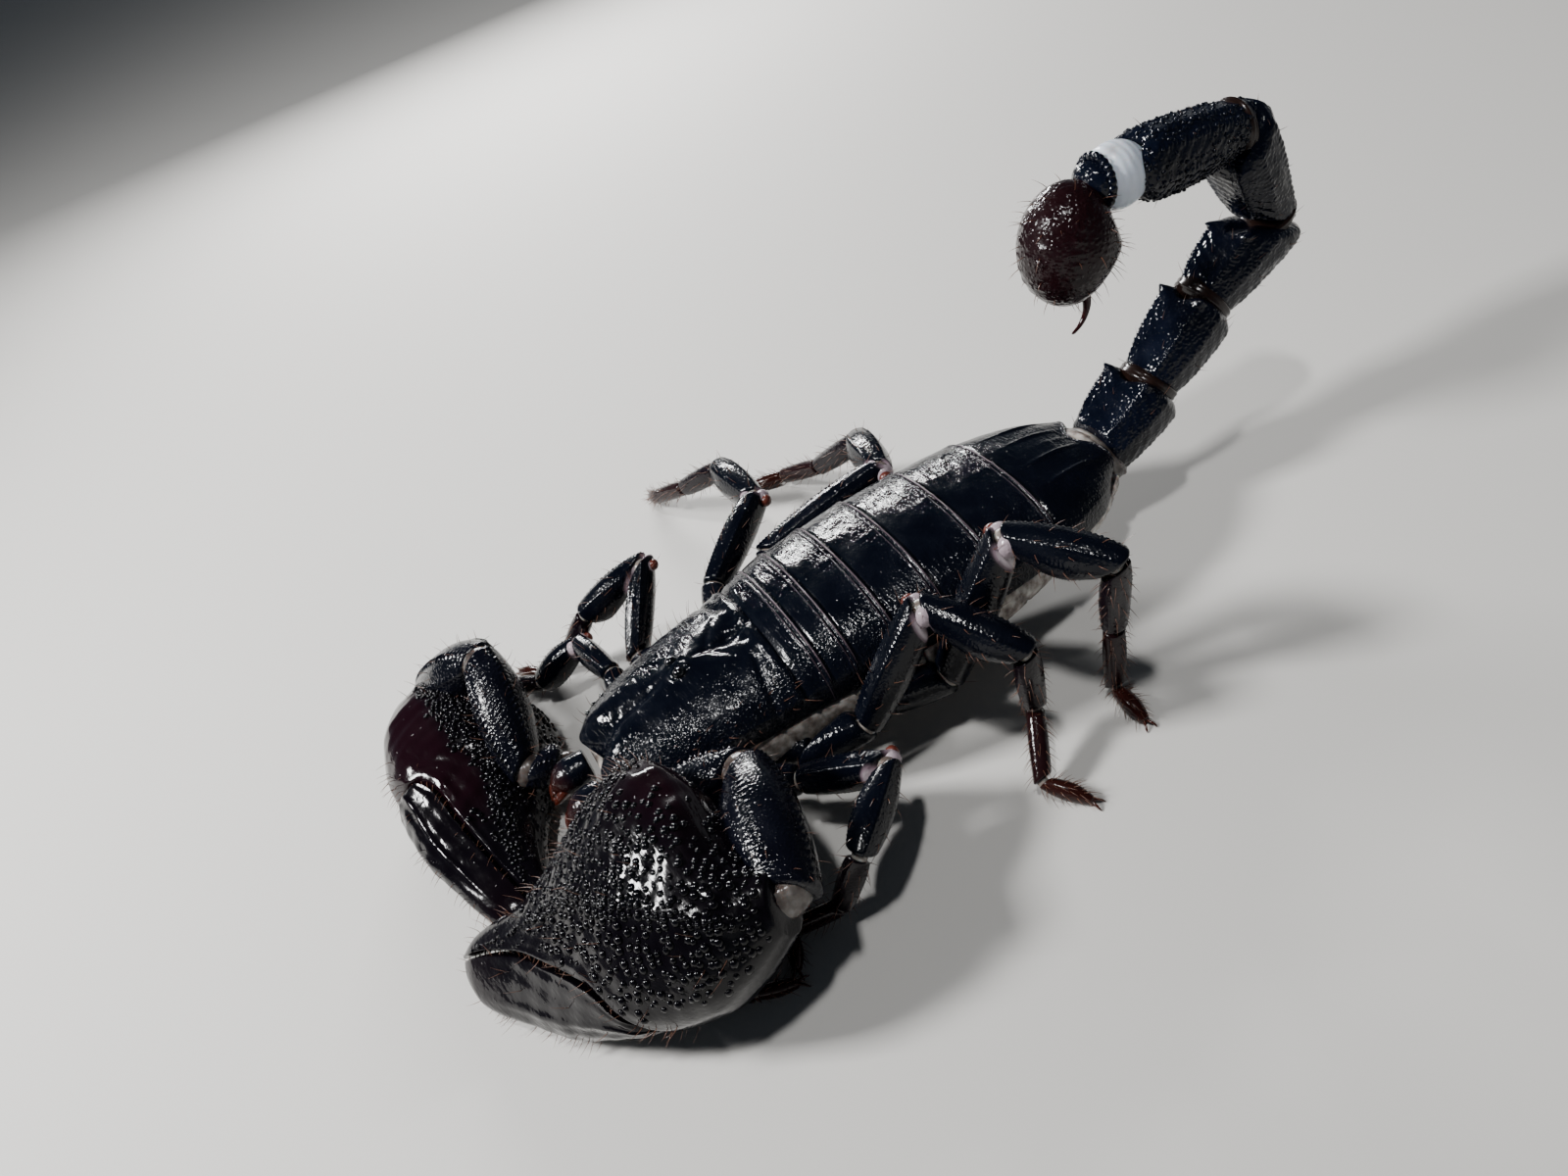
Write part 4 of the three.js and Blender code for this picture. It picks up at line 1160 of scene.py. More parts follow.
axis = slopes[-1]
bulb_start = tail_joints[-1] + axis * BULB["start"]
bulb, bulb_end, bulb_way = bent(bulb_start, BULB["length"], BULB["slope"], bulb_radius, 110, 110, bulb_relief)
reddish = 0.2 * ramp(np.linspace(0, 1, len(bulb))[:, None], 0.78, 0.98)
collar = ball(tail_joints[-1] + axis * 0.35, (3.3, 3.3, 2.3), axes=[RIGHT, np.cross(RIGHT, axis), axis],
              rows=20, around=36)
piece("venom_bulb", [skin(bulb, grain=0.7, warm=reddish), skin(collar, grain=0.7)],
      [STING_SHELL, TAIL_SHELL], "sting_shell", "vesicle", finish_of=[0, 1])


def sting_radius(t):
    """The radius falls with the square root of the way to the tip, which is rounded off."""
    r = (BULB["end"] + (STING["tip"] * 0.8 - BULB["end"]) * t ** 0.5) * 0.8
    r = r * np.sqrt(np.clip(1 - ramp(t, 0.93, 1) ** 2, 0.03, 1))
    return r, r


needle, _, _ = bent(bulb_end + bulb_way * 0.3, STING["length"], STING["slope"], sting_radius, 28, 48)
piece("sting_needle", [skin(needle, warm=0.35, grain=0.05)], [STING_SHELL], "sting_shell", "sting")
print("the bulb ends at", bulb_end.round(1), "mm")

# %% [markdown]
# ## Legs
# Four pairs of walking legs, each with a short trochanter, a flat femur, a patella, a tibia, a long foot
# article and the foot itself with two claws. A hinge with a hard knob on each side joins femur and patella;
# the cuticle round it is painted pale lilac as a highlight, and the knob is tanned orange. Behind it comes
# soft brown skin.

# %% Measures and poses of the legs
LEG_LENGTHS = [(5.0, 10.5, 9.5, 7.5, 6.3, 6.0), (5.5, 13.0, 11.5, 9.0, 7.4, 6.4),
               (7.0, 16.5, 13.0, 10.3, 9.0, 7.3), (6.5, 20.0, 13.2, 12.3, 10.0, 7.3)]
LEG_GIRTHS = (0.82, 0.9, 1.0, 1.05)
# For each of the six articles, from the hip to the foot: half sizes at girth 1, gap before it, rounding of
# its ends, points round it, and how warm and how grainy it is.
LEG_HALF_HEIGHT = (2.5, 2.75, 2.9, 1.75, 1.4, 1.3)
LEG_HALF_WIDTH = (2.2, 2.2, 2.5, 1.5, 1.25, 1.1)
LEG_GAPS = (0.15, 0.15, 0.45, 0.35, 0.25, 0.2)
LEG_CORNERS = (0.6, 0.6, 0.6, 0.4, 0.35, 0.3)
LEG_POINTS = (48, 64, 64, 44, 36, 28)
LEG_WARMTH = (0.0, 0.0, 0.0, 0.15, 0.4, 0.75)
LEG_GRAIN = (0.5, 0.35, 0.35, 0.3, 0.2, 0.1)
LEG_SWELL = (bulge(0.9, 0.5, 0.85), bulge(0.78, 0.6, 0.84), bulge(0.66, 0.58, 0.74),
             bulge(0.86, 0.35, 0.85), bulge(0.9, 0.4, 0.9), bulge(0.7, 0.45, 0.5))
LEG_KEELS = (
    keels(in_pairs((35, 0.15, 9)), 0.7),
    keels(in_pairs((28, 0.3, 7), (155, 0.22, 7), (90, 0.12, 8)), 0.62, 0.45),
    keels(in_pairs((38, 0.26, 7), (140, 0.2, 7), (85, 0.14, 7)), 0.6, 0.45),
    keels(in_pairs((40, 0.12, 9), (140, 0.12, 9)), 0.6, 0.3),
    keels(in_pairs((50, 0.07, 9)), 0.6, 0.3),
    None,
)
# The part of the foot article that the claws take, and how high above the floor its axis ends.
FOOT_SHARE, FOOT_HEIGHT = 0.16, 0.3
# Each article's bearing and slope. The foot has no slope of its own, because it reaches down to the floor.
LEG_POSES = {
    "left_1": [(7, -20), (-18, 0), (-122, -19), (-2, -10), (54, -6), (70, None)],
    "left_2": [(47, 6), (43, 18), (-51, -6), (-110, -61), (-118, -24), (-24, None)],
    "left_3": [(63, 18), (88, 47), (34, -23), (-172, -86), (-36, -32), (33, None)],
    "left_4": [(63, 9), (83, 55), (33, -9), (-178, -79), (-88, -83), (-5, None)],
    "right_1": [(7, 21), (-10, -3), (-69, -30), (-45, -10), (-50, -8), (-55, None)],
    "right_2": [(-41, 13), (41, 33), (-75, -22), (-49, -50), (-60, -31), (-35, None)],
    "right_3": [(24, 20), (54, 10), (-2, -4), (-32, -28), (-25, -25), (-3, None)],
    "right_4": [(0, 21), (98, 14), (13, -12), (-25, -35), (-25, -24), (-58, None)],
}
print("longest leg in mm:", max(sum(lengths) for lengths in LEG_LENGTHS))

# %% [markdown]
# ### Articles of a leg
# A leg is drawn first as a broken line from the hip to the floor. Then each stretch of it becomes a tube.
# A steep article takes its upper side from the femur's direction, because it has no side that looks up.

# %% Articles of a leg
def leg_line(pose, hip, lengths):
    """Joints and directions of the six articles. The foot's slope is the arcsine of the height that is left
    over the foot's length."""
    joints, ways = [np.array(hip, float)], []
    for (bearing, slope), length in zip(pose, lengths):
        if slope is None:
            slope = -np.degrees(np.arcsin((joints[-1][2] - FOOT_HEIGHT) / length))
        ways.append(heading(bearing, slope))
        joints.append(joints[-1] + ways[-1] * length)
    return joints, ways


def leg_tube(i, joints, ways, lengths, girth):
    """One article: its skin, with a painted lilac highlight on the flanks next to the knee, its rings, and
    its side and top.
    """
    near = np.array([1.0, 0, 0]) if i == 0 else mitre(ways[i - 1], ways[i])
    far = ways[i] if i == 5 else mitre(ways[i], ways[i + 1])
    up = ways[1] * [1, 1, 0] if abs(ways[i][2]) > 0.9 else np.array([0, 0, 1.0])
    gaps = (LEG_GAPS[i], lengths[5] * FOOT_SHARE if i == 5 else LEG_GAPS[i + 1])
    rings, theta, t, (_, side, top) = article(
        joints[i], joints[i + 1], up, near, far, LEG_HALF_WIDTH[i] * girth, LEG_HALF_HEIGHT[i] * girth,
        LEG_SWELL[i], relief=LEG_KEELS[i], gaps=gaps, corner=LEG_CORNERS[i], around=LEG_POINTS[i],
        step=0.24 if i < 3 else 0.3, floor=i > 1)
    # Painted highlight: lilac white on the flanks of femur and patella next to the knee.
    knee_painted_highlight = {1: 0.9 * ramp(t, 0.93, 0.98), 2: 0.7 * ramp(t, 0.05, 0.01)}.get(i, 0.0)
    flank = ramp(np.abs(np.sin(theta)), 0.3125, 0.9375)
    return skin(rings, pale=knee_painted_highlight * flank, warm=LEG_WARMTH[i], grain=LEG_GRAIN[i]), rings, side, top


print("girths of the four pairs of legs:", LEG_GIRTHS)

# %% [markdown]
# ### Joints, knees and feet
# Soft balls fill the gaps between the articles. The knee is a hinge with a rim painted pale as a highlight
# and a tanned knob on each side, and the foot ends in two hooked claws and two spurs, which are tubes along
# short curves.

# %% Joints, knees and feet
def leg_membrane(i, joint, girth):
    """Ball of soft skin between two articles, kept above the floor."""
    size = 0.74 * girth * min(LEG_HALF_WIDTH[i - 1], LEG_HALF_HEIGHT[i]) * (0.9 if i < 3 else 0.8)
    centre = joint * [1, 1, 0] + [0, 0, max(joint[2], size)]
    return skin(ball(centre, (size, size, size * 1.05), rows=12, around=20), warm=0.5)


def knee_hinge(knee, ways, side, top, girth):
    """A rim on each side of the knee, painted pale lilac as a highlight, and a tanned knob outside each rim.
    """
    rims, knobs = [], []
    for s in (-1, 1):
        spot = knee + side * s * LEG_HALF_WIDTH[1] * girth * 0.55 + top * 0.1
        away = spot - ways[2] * 0.6 * girth + side * s * 0.5 * girth
        axes = [ways[1], side, top]
        # The rim's pale field is a painted highlight.
        rims.append(skin(ball(spot, (1.55 * girth, 1.15 * girth, 1.4 * girth), axes=axes, rows=18,
                              around=28), pale=0.62, grain=0.5))
        knobs.append(skin(ball(away, (0.95 * girth, 0.8 * girth, 0.95 * girth), axes=axes, rows=16,
                               around=24)))
    return rims + knobs


def foot_claws(tip, way, up):
    """Two claws that fork at the end of the foot, curve down and end a little above the floor."""
    side = unit(np.cross(way, up))
    made = []
    for s in (-1, 1):
        knots = [tip - way * 0.5, tip + way * 0.35 + side * s * 0.35 + up * 0.1,
                 tip + way * 0.95 + side * s * 0.62 - up * 0.02,
                 tip + way * 1.35 + side * s * 0.72 - up * 0.3]
        path = curve(knots, 16)
        path[:, 2] = np.maximum(path[:, 2], 0.16)
        made.append(along_path(path, rounded(16, 0.26, 0.09, 0.3), up=side, around=9))
    return made


def foot_end(ankle, way, side, length, girth):
    """The two claws of a foot and the two spurs at its root."""
    made = foot_claws(ankle + way * length * (1 - FOOT_SHARE), way, np.array([0, 0, 1.0]))
    for s in (-1, 1):
        foot = ankle + side * s * 0.6 * girth
        tip = foot + (way + side * s * 0.9) * 0.85
        tip[2], foot[2] = max(tip[2], 0.2), max(foot[2], 0.3)
        made.append(along_path(curve([foot, (foot + tip) / 2, tip], 8), rounded(8, 0.22, 0.06), around=8))
    return [skin(rings) for rings in made]


print("the foot's claws and spurs take", FOOT_SHARE, "of the foot article")

# %% [markdown]
# ### Putting the legs together
# Each leg is three pieces, as the solids are: trochanter with femur, patella, and tibia with both foot
# articles. All legs are worked out as left ones and the right ones are mirrored at the end, which keeps
# one recipe for both sides.

# %% Legs
# Every limb's rings and its side, for the bristles that are grown on them later.
KEPT_FOR_HAIRS = {}
LEG_PARTS = {"femur": (0, 1), "patella": (2,), "tarsus": (3, 4, 5)}


def leg(label, pose, hip, lengths, girth, side):
    """All pieces of one leg, worked out as a left leg and mirrored for side -1."""
    joints, ways = leg_line(pose, hip, lengths)
    skins, rings, sides, tops = zip(*[leg_tube(i, joints, ways, lengths, girth) for i in range(6)])
    for name, which in LEG_PARTS.items():
        hard = [skins[i] for i in which]
        soft = [leg_membrane(i, joints[i], girth) for i in which if i > 0]
        extra, finish = [], [0] * len(hard) + [1] * len(soft)
        if name == "femur":
            extra = knee_hinge(joints[2], ways, sides[1], tops[1], girth)
            finish += [0, 0, 2, 2]
        if name == "tarsus":
            extra = foot_end(joints[5], ways[5], sides[4], lengths[5], girth)
            finish += [2] * len(extra)
        materials = [LIMB_SHELL, MEMBRANE, CONDYLE if name == "femur" else CLAW_TIP]
        piece(f"leg_{label}_{name}", [mirror(shape, side) for shape in hard + soft + extra], materials,
              "shell", f"leg_{label}_{name}", finish_of=finish)
    KEPT_FOR_HAIRS["leg_" + label] = (list(rings), side)


for label, pose in LEG_POSES.items():
    pair = int(label[-1]) - 1
    leg(label, pose, LEG_HIPS[pair], LEG_LENGTHS[pair], LEG_GIRTHS[pair], dict(SIDES)[label[:-2]])
print("legs:", len(LEG_POSES), "with 6 articles each")

# %% [markdown]
# ## Pedipalps
# The two arms are folded, so that each elbow points forward and each claw lies across the front of the
# head. Trochanter, femur and patella are limb pieces with strong granular keels.

# %% Arms
ARM_ROOT, ARM_LENGTHS = (7.8, -2.4, 8.4), (5.2, 17.2, 18.5)
ARM_HALF_HEIGHT, ARM_HALF_WIDTH = (2.8, 4.2, 4.7), (2.6, 3.9, 4.8)
ARM_SWELL = (bulge(0.8, 0.5, 0.8), bulge(0.62, 0.55, 0.72), bulge(0.6, 0.45, 0.7))
ARM_KEELS = (
    keels(in_pairs((30, 0.3, 8), (100, 0.25, 8)), 0.8),
    keels(in_pairs((42, 0.5, 6), (125, 0.4, 6)) + [(0, 0.15, 7)], 0.85, 0.6),
    keels([(10, 0.4, 6), (62, 0.4, 6), (-62, 0.45, 6), (120, 0.35, 7), (-120, 0.35, 7)], 0.85, 0.6),
)
ARM_GRAIN = (0.8, 0.7, 0.6)
# Bearing and slope of each article and of the claw, roll of the claw, and fullness of its inner side.
ARM_POSES = {
    "left": ([(50, 17), (59, 24), (-11, 0)], (-128, -16), 34, 1.0),
    "right": ([(-72, 10), (6, 27), (-34, -31)], (-180, -6), -20, 0.7),
}
ARM_NAMES = ("trochanter", "femur", "patella")
# Radius of the soft ball at an elbow over the half size of the article that it starts.
ELBOW_SHARE = 0.594


def arm(label, side):
    """The three articles of one arm. Returns the wrist and the way that the claw points."""
    pose, chela_way, _, _ = ARM_POSES[label]
    ways = [heading(*p) for p in pose] + [heading(*chela_way)]
    joint, tubes = np.array(ARM_ROOT, float), []
    for i, name in enumerate(ARM_NAMES):
        end = joint + ways[i] * ARM_LENGTHS[i]
        near = ways[0] if i == 0 else mitre(ways[i - 1], ways[i])
        far = unit(2.2 * ways[2] + ways[3]) if i == 2 else mitre(ways[i], ways[i + 1])
        rings, _, _, (_, across, top) = article(
            joint, end, (0, 0, 1), near, far, ARM_HALF_WIDTH[i], ARM_HALF_HEIGHT[i], ARM_SWELL[i],
            relief=ARM_KEELS[i], gaps=(0.4, 0.4), corner=0.8, around=96, step=0.22)
        size = ELBOW_SHARE * min(ARM_HALF_WIDTH[i], ARM_HALF_HEIGHT[i])
        soft = [skin(ball(joint, (size, size, size), rows=18, around=28, pleats=0.03), warm=0.9)]
        if name == "patella":
            wrist = ball(end, (2.5, 2.5, 1.9), axes=[across, top, far], rows=20, around=32, pleats=0.05)
            soft.append(skin(wrist, warm=0.8))
        shapes = [skin(rings, warm=0.02, grain=ARM_GRAIN[i])] + soft
        piece(f"arm_{label}_{name}", [mirror(shape, side) for shape in shapes], [LIMB_SHELL, MEMBRANE],
              "shell", f"pedipalp_{label}_{name}", finish_of=[0] + [1] * len(soft))
        tubes.append(rings)
        joint = end
    KEPT_FOR_HAIRS["arm_" + label] = (tubes, side)
    return joint, ways[3]


wrists = {label: arm(label, side) for label, side in SIDES}
print("wrists in mm:", {label: wrist[0].round(1).tolist() for label, wrist in wrists.items()})

# %% [markdown]
# ### The great claws
# A claw is a swollen palm that ends in a fixed finger, with a movable finger beside it. Palm and fixed
# finger are one surface: at each place along the claw, its section runs from an outer to an inner edge,
# and past the palm the outer edge becomes the biting edge. The movable finger fills the rest, with a thin
# gap between. Two toothed edges meet there, and rounded granules crowd the upper side of the palm.

# %% Outline of the claws
# Along the claw's axis: distances to the inner edge, the outer edge, the top and the sole.
CHELA = {
    "along": [0, 3, 6, 10, 16.5, 22.5, 30, 37, 44.5, 48.5],
    "inner": [3.6, 4.4, 7.5, 14, 18.4, 17, 10.5, 5.9, 3.6, 1.0],
    "outer": [3.4, 6.2, 8.5, 10.5, 11.4, 11.5, 10.9, 8.7, 5.7, 0.9],
    "top": [3.4, 5.4, 7.4, 8.5, 8.7, 7.6, 5.4, 3.9, 2.8, 0.8],
    "sole": [3.0, 4.3, 5.6, 6.4, 6.5, 5.7, 4.3, 3.3, 2.4, 0.8],
}
# The outer edge of the palm before the seam, and the seam between palm and movable finger, each a place
# along the claw and one across it, + inward. The left claw has the broader movable finger.
PALM_ROOT = [(0, -3.3), (3, -6.1), (6, -8.4), (10, -10.4), (16.5, -11.3)]
SEAM = {"left": [(19.0, -10.2), (20.5, -8.6), (23.5, -5.2), (30, -2.2), (37, 0.2), (43, 0.9), (49.5, 0.6)],
        "right": [(20.5, -10.2), (22, -8.2), (25, -6.6), (30, -5.4), (37, -3.4), (43, -1.6), (49.5, 0.2)]}


def claw_frame(label):
    """Wrist, the claw's own axis, its inner side and its top, turned by the roll of the claw."""
    wrist, axis = wrists[label]
    level = unit(np.array([axis[1], -axis[0], 0.0]))
    upright = np.cross(level, axis)
    roll = np.radians(ARM_POSES[label][2])
    inner = level * np.cos(roll) + upright * np.sin(roll)
    return wrist, axis, inner, np.cross(inner, axis), ARM_POSES[label][3]


def claw_point(frame, s, inward, high):
    """Wrist plus the ways along the claw, inward and up; nothing goes below the floor."""
    wrist, axis, inner, top, _ = frame
    rings = wrist + s[..., None] * axis + inward[..., None] * inner + high[..., None] * top
    rings[..., 2] = np.maximum(rings[..., 2], 0)
    return rings


for label, _ in SIDES:
    print(label, "claw points along", claw_frame(label)[1].round(2))

# %% [markdown]
# ### Sections of the claws
# A claw could be two blobs pushed together, but then its biting edges would never meet evenly. Here both
# fingers are cut from the same section by one seam. Low keels and waves break up the smooth surface.

# %% Sections of the claws
def claw_rings(frame, s, edge, relief, around, bite, corner=0.5):
    """Sections square to the claw's axis. The whole claw's section has the height top times the 0.9 power
    of a cosine, whose sine is the 1/0.9 power of the share of the width. Palm (bite -1) and movable finger
    (bite 1) take their parts of it on the two sides of the biting edge, which is rounded off over 0.4 mm."""
    lobe = frame[4]
    theta = np.linspace(0, 2 * np.pi, around, endpoint=False)[None]
    s = s[:, None]
    at = {key: through(CHELA["along"], CHELA[key], s) for key in ("inner", "outer", "top", "sole")}
    close = quarter(ramp(np.minimum(s - s[0], s[-1] - s), 0, corner)) * 0.98 + 0.02
    low_side, high_side = -at["outer"], at["inner"] * lobe
    if bite < 0:
        low_side = np.maximum(low_side, edge(s))
    else:
        high_side = np.minimum(high_side, edge(s))
    middle, half = (low_side + high_side) / 2, (high_side - low_side) / 2
    lift = relief(theta, s) * close
    up, out = np.cos(theta), np.sin(theta)
    inward = middle + half * close * out
    share = np.clip(np.abs(inward) / np.where(inward > 0, at["inner"] * lobe, at["outer"]), 0, 1)
    height = np.maximum(1 - share ** (2 / 0.9), 0) ** 0.45 * np.where(up > 0, at["top"], at["sole"]) * close
    height = height * quarter(ramp(inward - low_side if bite < 0 else high_side - inward, 0, 0.4))
    high = np.sign(up) * (height + lift * np.clip(height, 0, 1))
    inward = inward + np.where(np.sign(out) == bite, 0, lift * out)
    return claw_point(frame, s + 0 * theta, inward, high), theta, s


def round_place(theta):
    """Degrees round a claw, from -180 to 180, with 0 at its top and + toward its inner edge."""
    return (np.degrees(theta) + 180) % 360 - 180


def ridge_place(s):
    """The main ridge runs along the top and bends outward toward the tips."""
    return -5 - 0.17 * np.maximum(0, s - 29) ** 2


def palm_relief(theta, s):
    """Low keels along the palm, its granular inner edge, and a wavy surface."""
    fade = ramp(s, 0, 4) * ramp(s, 40, 26)
    lines = 0.0
    for angle, height, width in ((ridge_place(s), 0.4, 7), (-60, 0.2, 9), (85, 0.25, 9), (-100, 0.2, 9),
                                 (150, 0.25, 9)):
        lines = lines + height * hump(round_from(theta, np.radians(angle)), np.radians(width))
    waves = 0.14 * np.sin(theta * 5 + s * 0.35) * np.sin(s * 0.62 + theta * 2)
    waves = waves + 0.07 * np.sin(theta * 13 + s * 0.9) * np.sin(s * 1.7 - theta * 4)
    return (lines + waves) * fade - 0.25 * fade


def finger_relief(theta, s):
    """One keel beside the top of the movable finger, and a wavy surface, both fading toward the tip."""
    keel = 0.25 * hump(round_from(theta, -np.radians(25)), 0.14)
    waves = 0.08 * np.sin(theta * 6 + s * 0.7) * np.sin(s * 1.1 - theta * 3)
    return (keel + waves) * ramp(s, 44, 32) - 0.1


print("the left palm is", CHELA["inner"][4] + CHELA["outer"][4], "mm broad")

# %% [markdown]
# ### Teeth and beads of the claws
# The granules of the upper side are large and pearly, so they are real beads. They could cover the claw
# evenly, but the real ones leave smooth fields free and crowd along the ridge, so a function of the place
# decides how likely a bead is.

# %% Teeth and beads of the claws
def tooth_row(frame, edge, direction, size):
    """Blunt teeth in a row along a biting edge, every third one larger."""
    at = np.arange(24.5, 47.0, 0.85)
    made = []
    for k, (s, x) in enumerate(zip(at, edge(at))):
        r = size * (1.5 if k % 3 == 0 else 1.0) * (1.15 - 0.012 * s)
        spot = claw_point(frame, np.array(s), np.array(x - direction * r * 0.6), np.array(0.0))
        made.append(skin(ball(spot, (r, r, r * 1.3), rows=7, around=10), warm=0.3))
    return made


# How smooth the palm is at a place: the left one near the wrist, the right one all over its outer side.
SMOOTH = {
    "left": lambda s, place: hump(s - 12.5, 4.5) * hump(place - 68, 30),
    "right": lambda s, place: ramp(place, -12, -26) * ramp(place, -125, -105) * ramp(s, 33, 27),
}
# The stretch round the claw that small beads cover, as its middle and half its breadth in degrees, and how
# many of the possible places they take.
SMALL_BEADS = {"left": (8, 66, 0.4), "right": (36, 76, 0.75)}
# Half the breadth of the beaded ridge, in degrees round the claw.
RIDGE_BREADTH = {"left": 5, "right": 15}
# The palm's skin starts and ends at these places along the claw.
PALM_START, PALM_END = 0.15, 48.35


def on_palm(share):
    """Place along the claw in mm and round it in degrees, from shares of the way along and round."""
    return PALM_START + (PALM_END - PALM_START) * share[:, 0], round_place(share[:, 1] * 2 * np.pi)


def bead_keeper(label, large):
    """Large beads stand on the upper side of the palm, small ones round them and on the finger. Both leave
    the smooth fields free."""
    def keep(share, place, normal, rng):
        s, where = on_palm(share)
        top = ramp(s, 36, 30) * ramp(np.abs(where - 12), 80, 60)
        middle, breadth, share_taken = SMALL_BEADS[label]
        covered = (np.abs(where - middle) < breadth) * ramp(s, 42, 34)
        chance = 0.95 * top if large else share_taken * (1 - top) * covered
        return (rng.random(len(s)) < chance * (1 - SMOOTH[label](s, where))) & (s > 1.2)
    return keep


def ridge_keeper(label):
    """Beads along the main ridge, from the wrist nearly to the tip."""
    def keep(share, place, normal, rng):
        s, where = on_palm(share)
        return (np.abs(where - ridge_place(s)) < RIDGE_BREADTH[label]) & (s > 3) & (s < 45)
    return keep


print("beads on the ridge stand up to", max(RIDGE_BREADTH.values()), "degrees beside it")

# %% [markdown]
# ### Putting the claws together
# The seam is shifted a little to both sides, which leaves a thin dark gap between palm and finger. Each
# piece takes its teeth and beads along, and its bare skin is kept for the bristles.

# %% Great claws
def seam_line(label, shift, root=()):
    """Biting edge as a function of the place along the claw, shift mm beside the middle of the gap."""
    knots = np.array(list(root) + [(s + shift, x - shift) for s, x in SEAM[label]])
    return lambda s: through(knots[:, 0], knots[:, 1], s)


def claw_stretch(start, near, points, body, end):
    """Places along a claw in mm: some in the rounded near end, which is near mm long, then every 0.2 mm
    over the body, and six in a rounded tip of 0.7 mm."""
    turn, last_turn = np.linspace(0, np.pi / 2, points), np.linspace(0, np.pi / 2, 6)
    return np.concatenate([start + near * (1 - np.cos(turn))[:-1], np.arange(*body, 0.2),
                           end - 0.7 * (1 - np.sin(last_turn))])


for label, side in SIDES:
    frame_here, first = claw_frame(label), SEAM[label][0][0]
    palm_edge, finger_edge = seam_line(label, -0.06, PALM_ROOT), seam_line(label, 0.06)
    palm, theta, s = claw_rings(frame_here, claw_stretch(PALM_START, 0.5, 5, (0.65, 47.6), PALM_END),
                                palm_edge, palm_relief, 200, bite=-1)
    smooth = SMOOTH[label](s, round_place(theta))
    shapes = [skin(palm, grain=(1 - smooth) * 0.15, warm=0.5 * smooth + 0.04),
              beads(scatter(palm, 1.12, 11, bead_keeper(label, True)), 0.54, 0.3, 12),
              beads(scatter(palm, 0.8, 12, bead_keeper(label, False)), 0.3, 0.17, 13),
              beads(scatter(palm, 0.74, 13, ridge_keeper(label)), 0.38, 0.36, 14)]
    piece("palm_" + label, [mirror(x, side) for x in shapes + tooth_row(frame_here, palm_edge, -1, 0.2)],
          [CLAW_SHELL], "claw_shell", f"pedipalp_{label}_palm")
    finger, _, s = claw_rings(frame_here, claw_stretch(first + 0.3, 1.4, 9, (first + 1.8, 47.2), 48.0),
                              finger_edge, finger_relief, 140, bite=1, corner=1.4)
    shapes = [skin(finger, grain=0.25, warm=0.05 + 0.2 * ramp(s, 38, 48))]
    piece("movable_finger_" + label,
          [mirror(x, side) for x in shapes + tooth_row(frame_here, finger_edge, 1, 0.17)],
          [CLAW_SHELL], "claw_shell", f"pedipalp_{label}_finger")
    KEPT_FOR_HAIRS["claw_" + label] = ([palm, finger], side)
print("great claws are", CHELA["along"][-1], "mm long")

# %% [markdown]
# ### Bristles
# Bristles are sense organs: each feels the air or the ground. They are thinnest on the back, which is bare,
# and most of them stand on the edges of the claws, on the feet and on the bulb. They are grown from the
# skins kept above, so that each root is on the surface.

# %% Bristles
def hairy(name, tubes, side, spacing, length, radius, lean, keep=None, seed=0):
    """One mesh with all bristles of a limb: each of its tubes gets its own tile of the flat map."""
    grown = []
    for k, rings in enumerate(tubes):
        wide = spacing[k] if isinstance(spacing, (list, tuple)) else spacing
        if wide is None:
            continue
        found = scatter(rings, wide, seed + k, None if keep is None else keep[k])
        if len(found[0]):
            grown.append(bristles(found, length, radius, lean, seed + 50 + k, tile=(k, len(tubes))))
    piece(name, [mirror(shape, side) for shape in grown], [BRISTLE], "shell")
    return sum(len(shape["points"]) for shape in grown) // SPIKE_POINTS


def at_edges(share, place, normal, rng):
    """Along the two edges of a claw, and here and there on its upper side."""
    where = np.abs(round_place(share[:, 1] * 2 * np.pi))
    edge = (np.abs(where - 90) < 22) & (share[:, 0] > 0.3)
    return (edge & (rng.random(len(where)) < 0.6)) | ((where < 60) & (rng.random(len(where)) < 0.03))


def on_shield_sides(share, place, normal, rng):
    """Only far out on the upper side of the shield."""
    outside = np.abs(place[:, 0]) > 0.72 * trunk("half", place[:, 1])
    return outside & (normal[:, 2] > 0.1) & (rng.random(len(share)) < 0.8)


# For each kind of limb: spacing, length and radius of its bristles in mm, how much they lean along the limb,
# and which places are kept on each of its tubes. A leg's first article, at the hip, is bare.
COATS = {
    "arm": (2.4, 1.6, 0.055, 0.5, [few(0.6)] * 3),
    "claw": (1.05, 2.0, 0.055, 0.5, [at_edges] * 2),
    "leg": ([None, 2.6, 2.3, 1.5, 1.2, 0.8], 1.5, 0.055, 0.8, None),
}
bristle_count = 0
for k, (label, (tubes, side)) in enumerate(sorted(KEPT_FOR_HAIRS.items())):
    coat = COATS[label.split("_")[0]]
    bristle_count += hairy("bristles_" + label, tubes, side, *coat, seed=100 + 10 * k)
bristle_count += hairy("bristles_bulb", [bulb], 1, 1.9, 1.8, 0.06, 0.3, [few(0.75)], seed=7)
bristle_count += hairy("bristles_tail", tail_skins, 1, 3.2, 1.3, 0.05, 0.6, [few(0.5)] * 5, seed=17)
bristle_count += hairy("bristles_shield", [shield], 1, 1.7, 1.9, 0.05, 0.2, [on_shield_sides], seed=27)
print("bristles:", bristle_count)

# %% [markdown]
# ## Camera, light and floor
# One soft light stands at the head end and gives the broken white streaks on the plates. Another, long and
# low at the far side, draws a line of light along the back, and a third from above models the legs. A pale
# room fills in the rest. The camera looks down on the shield from the front left, and is rolled a little.

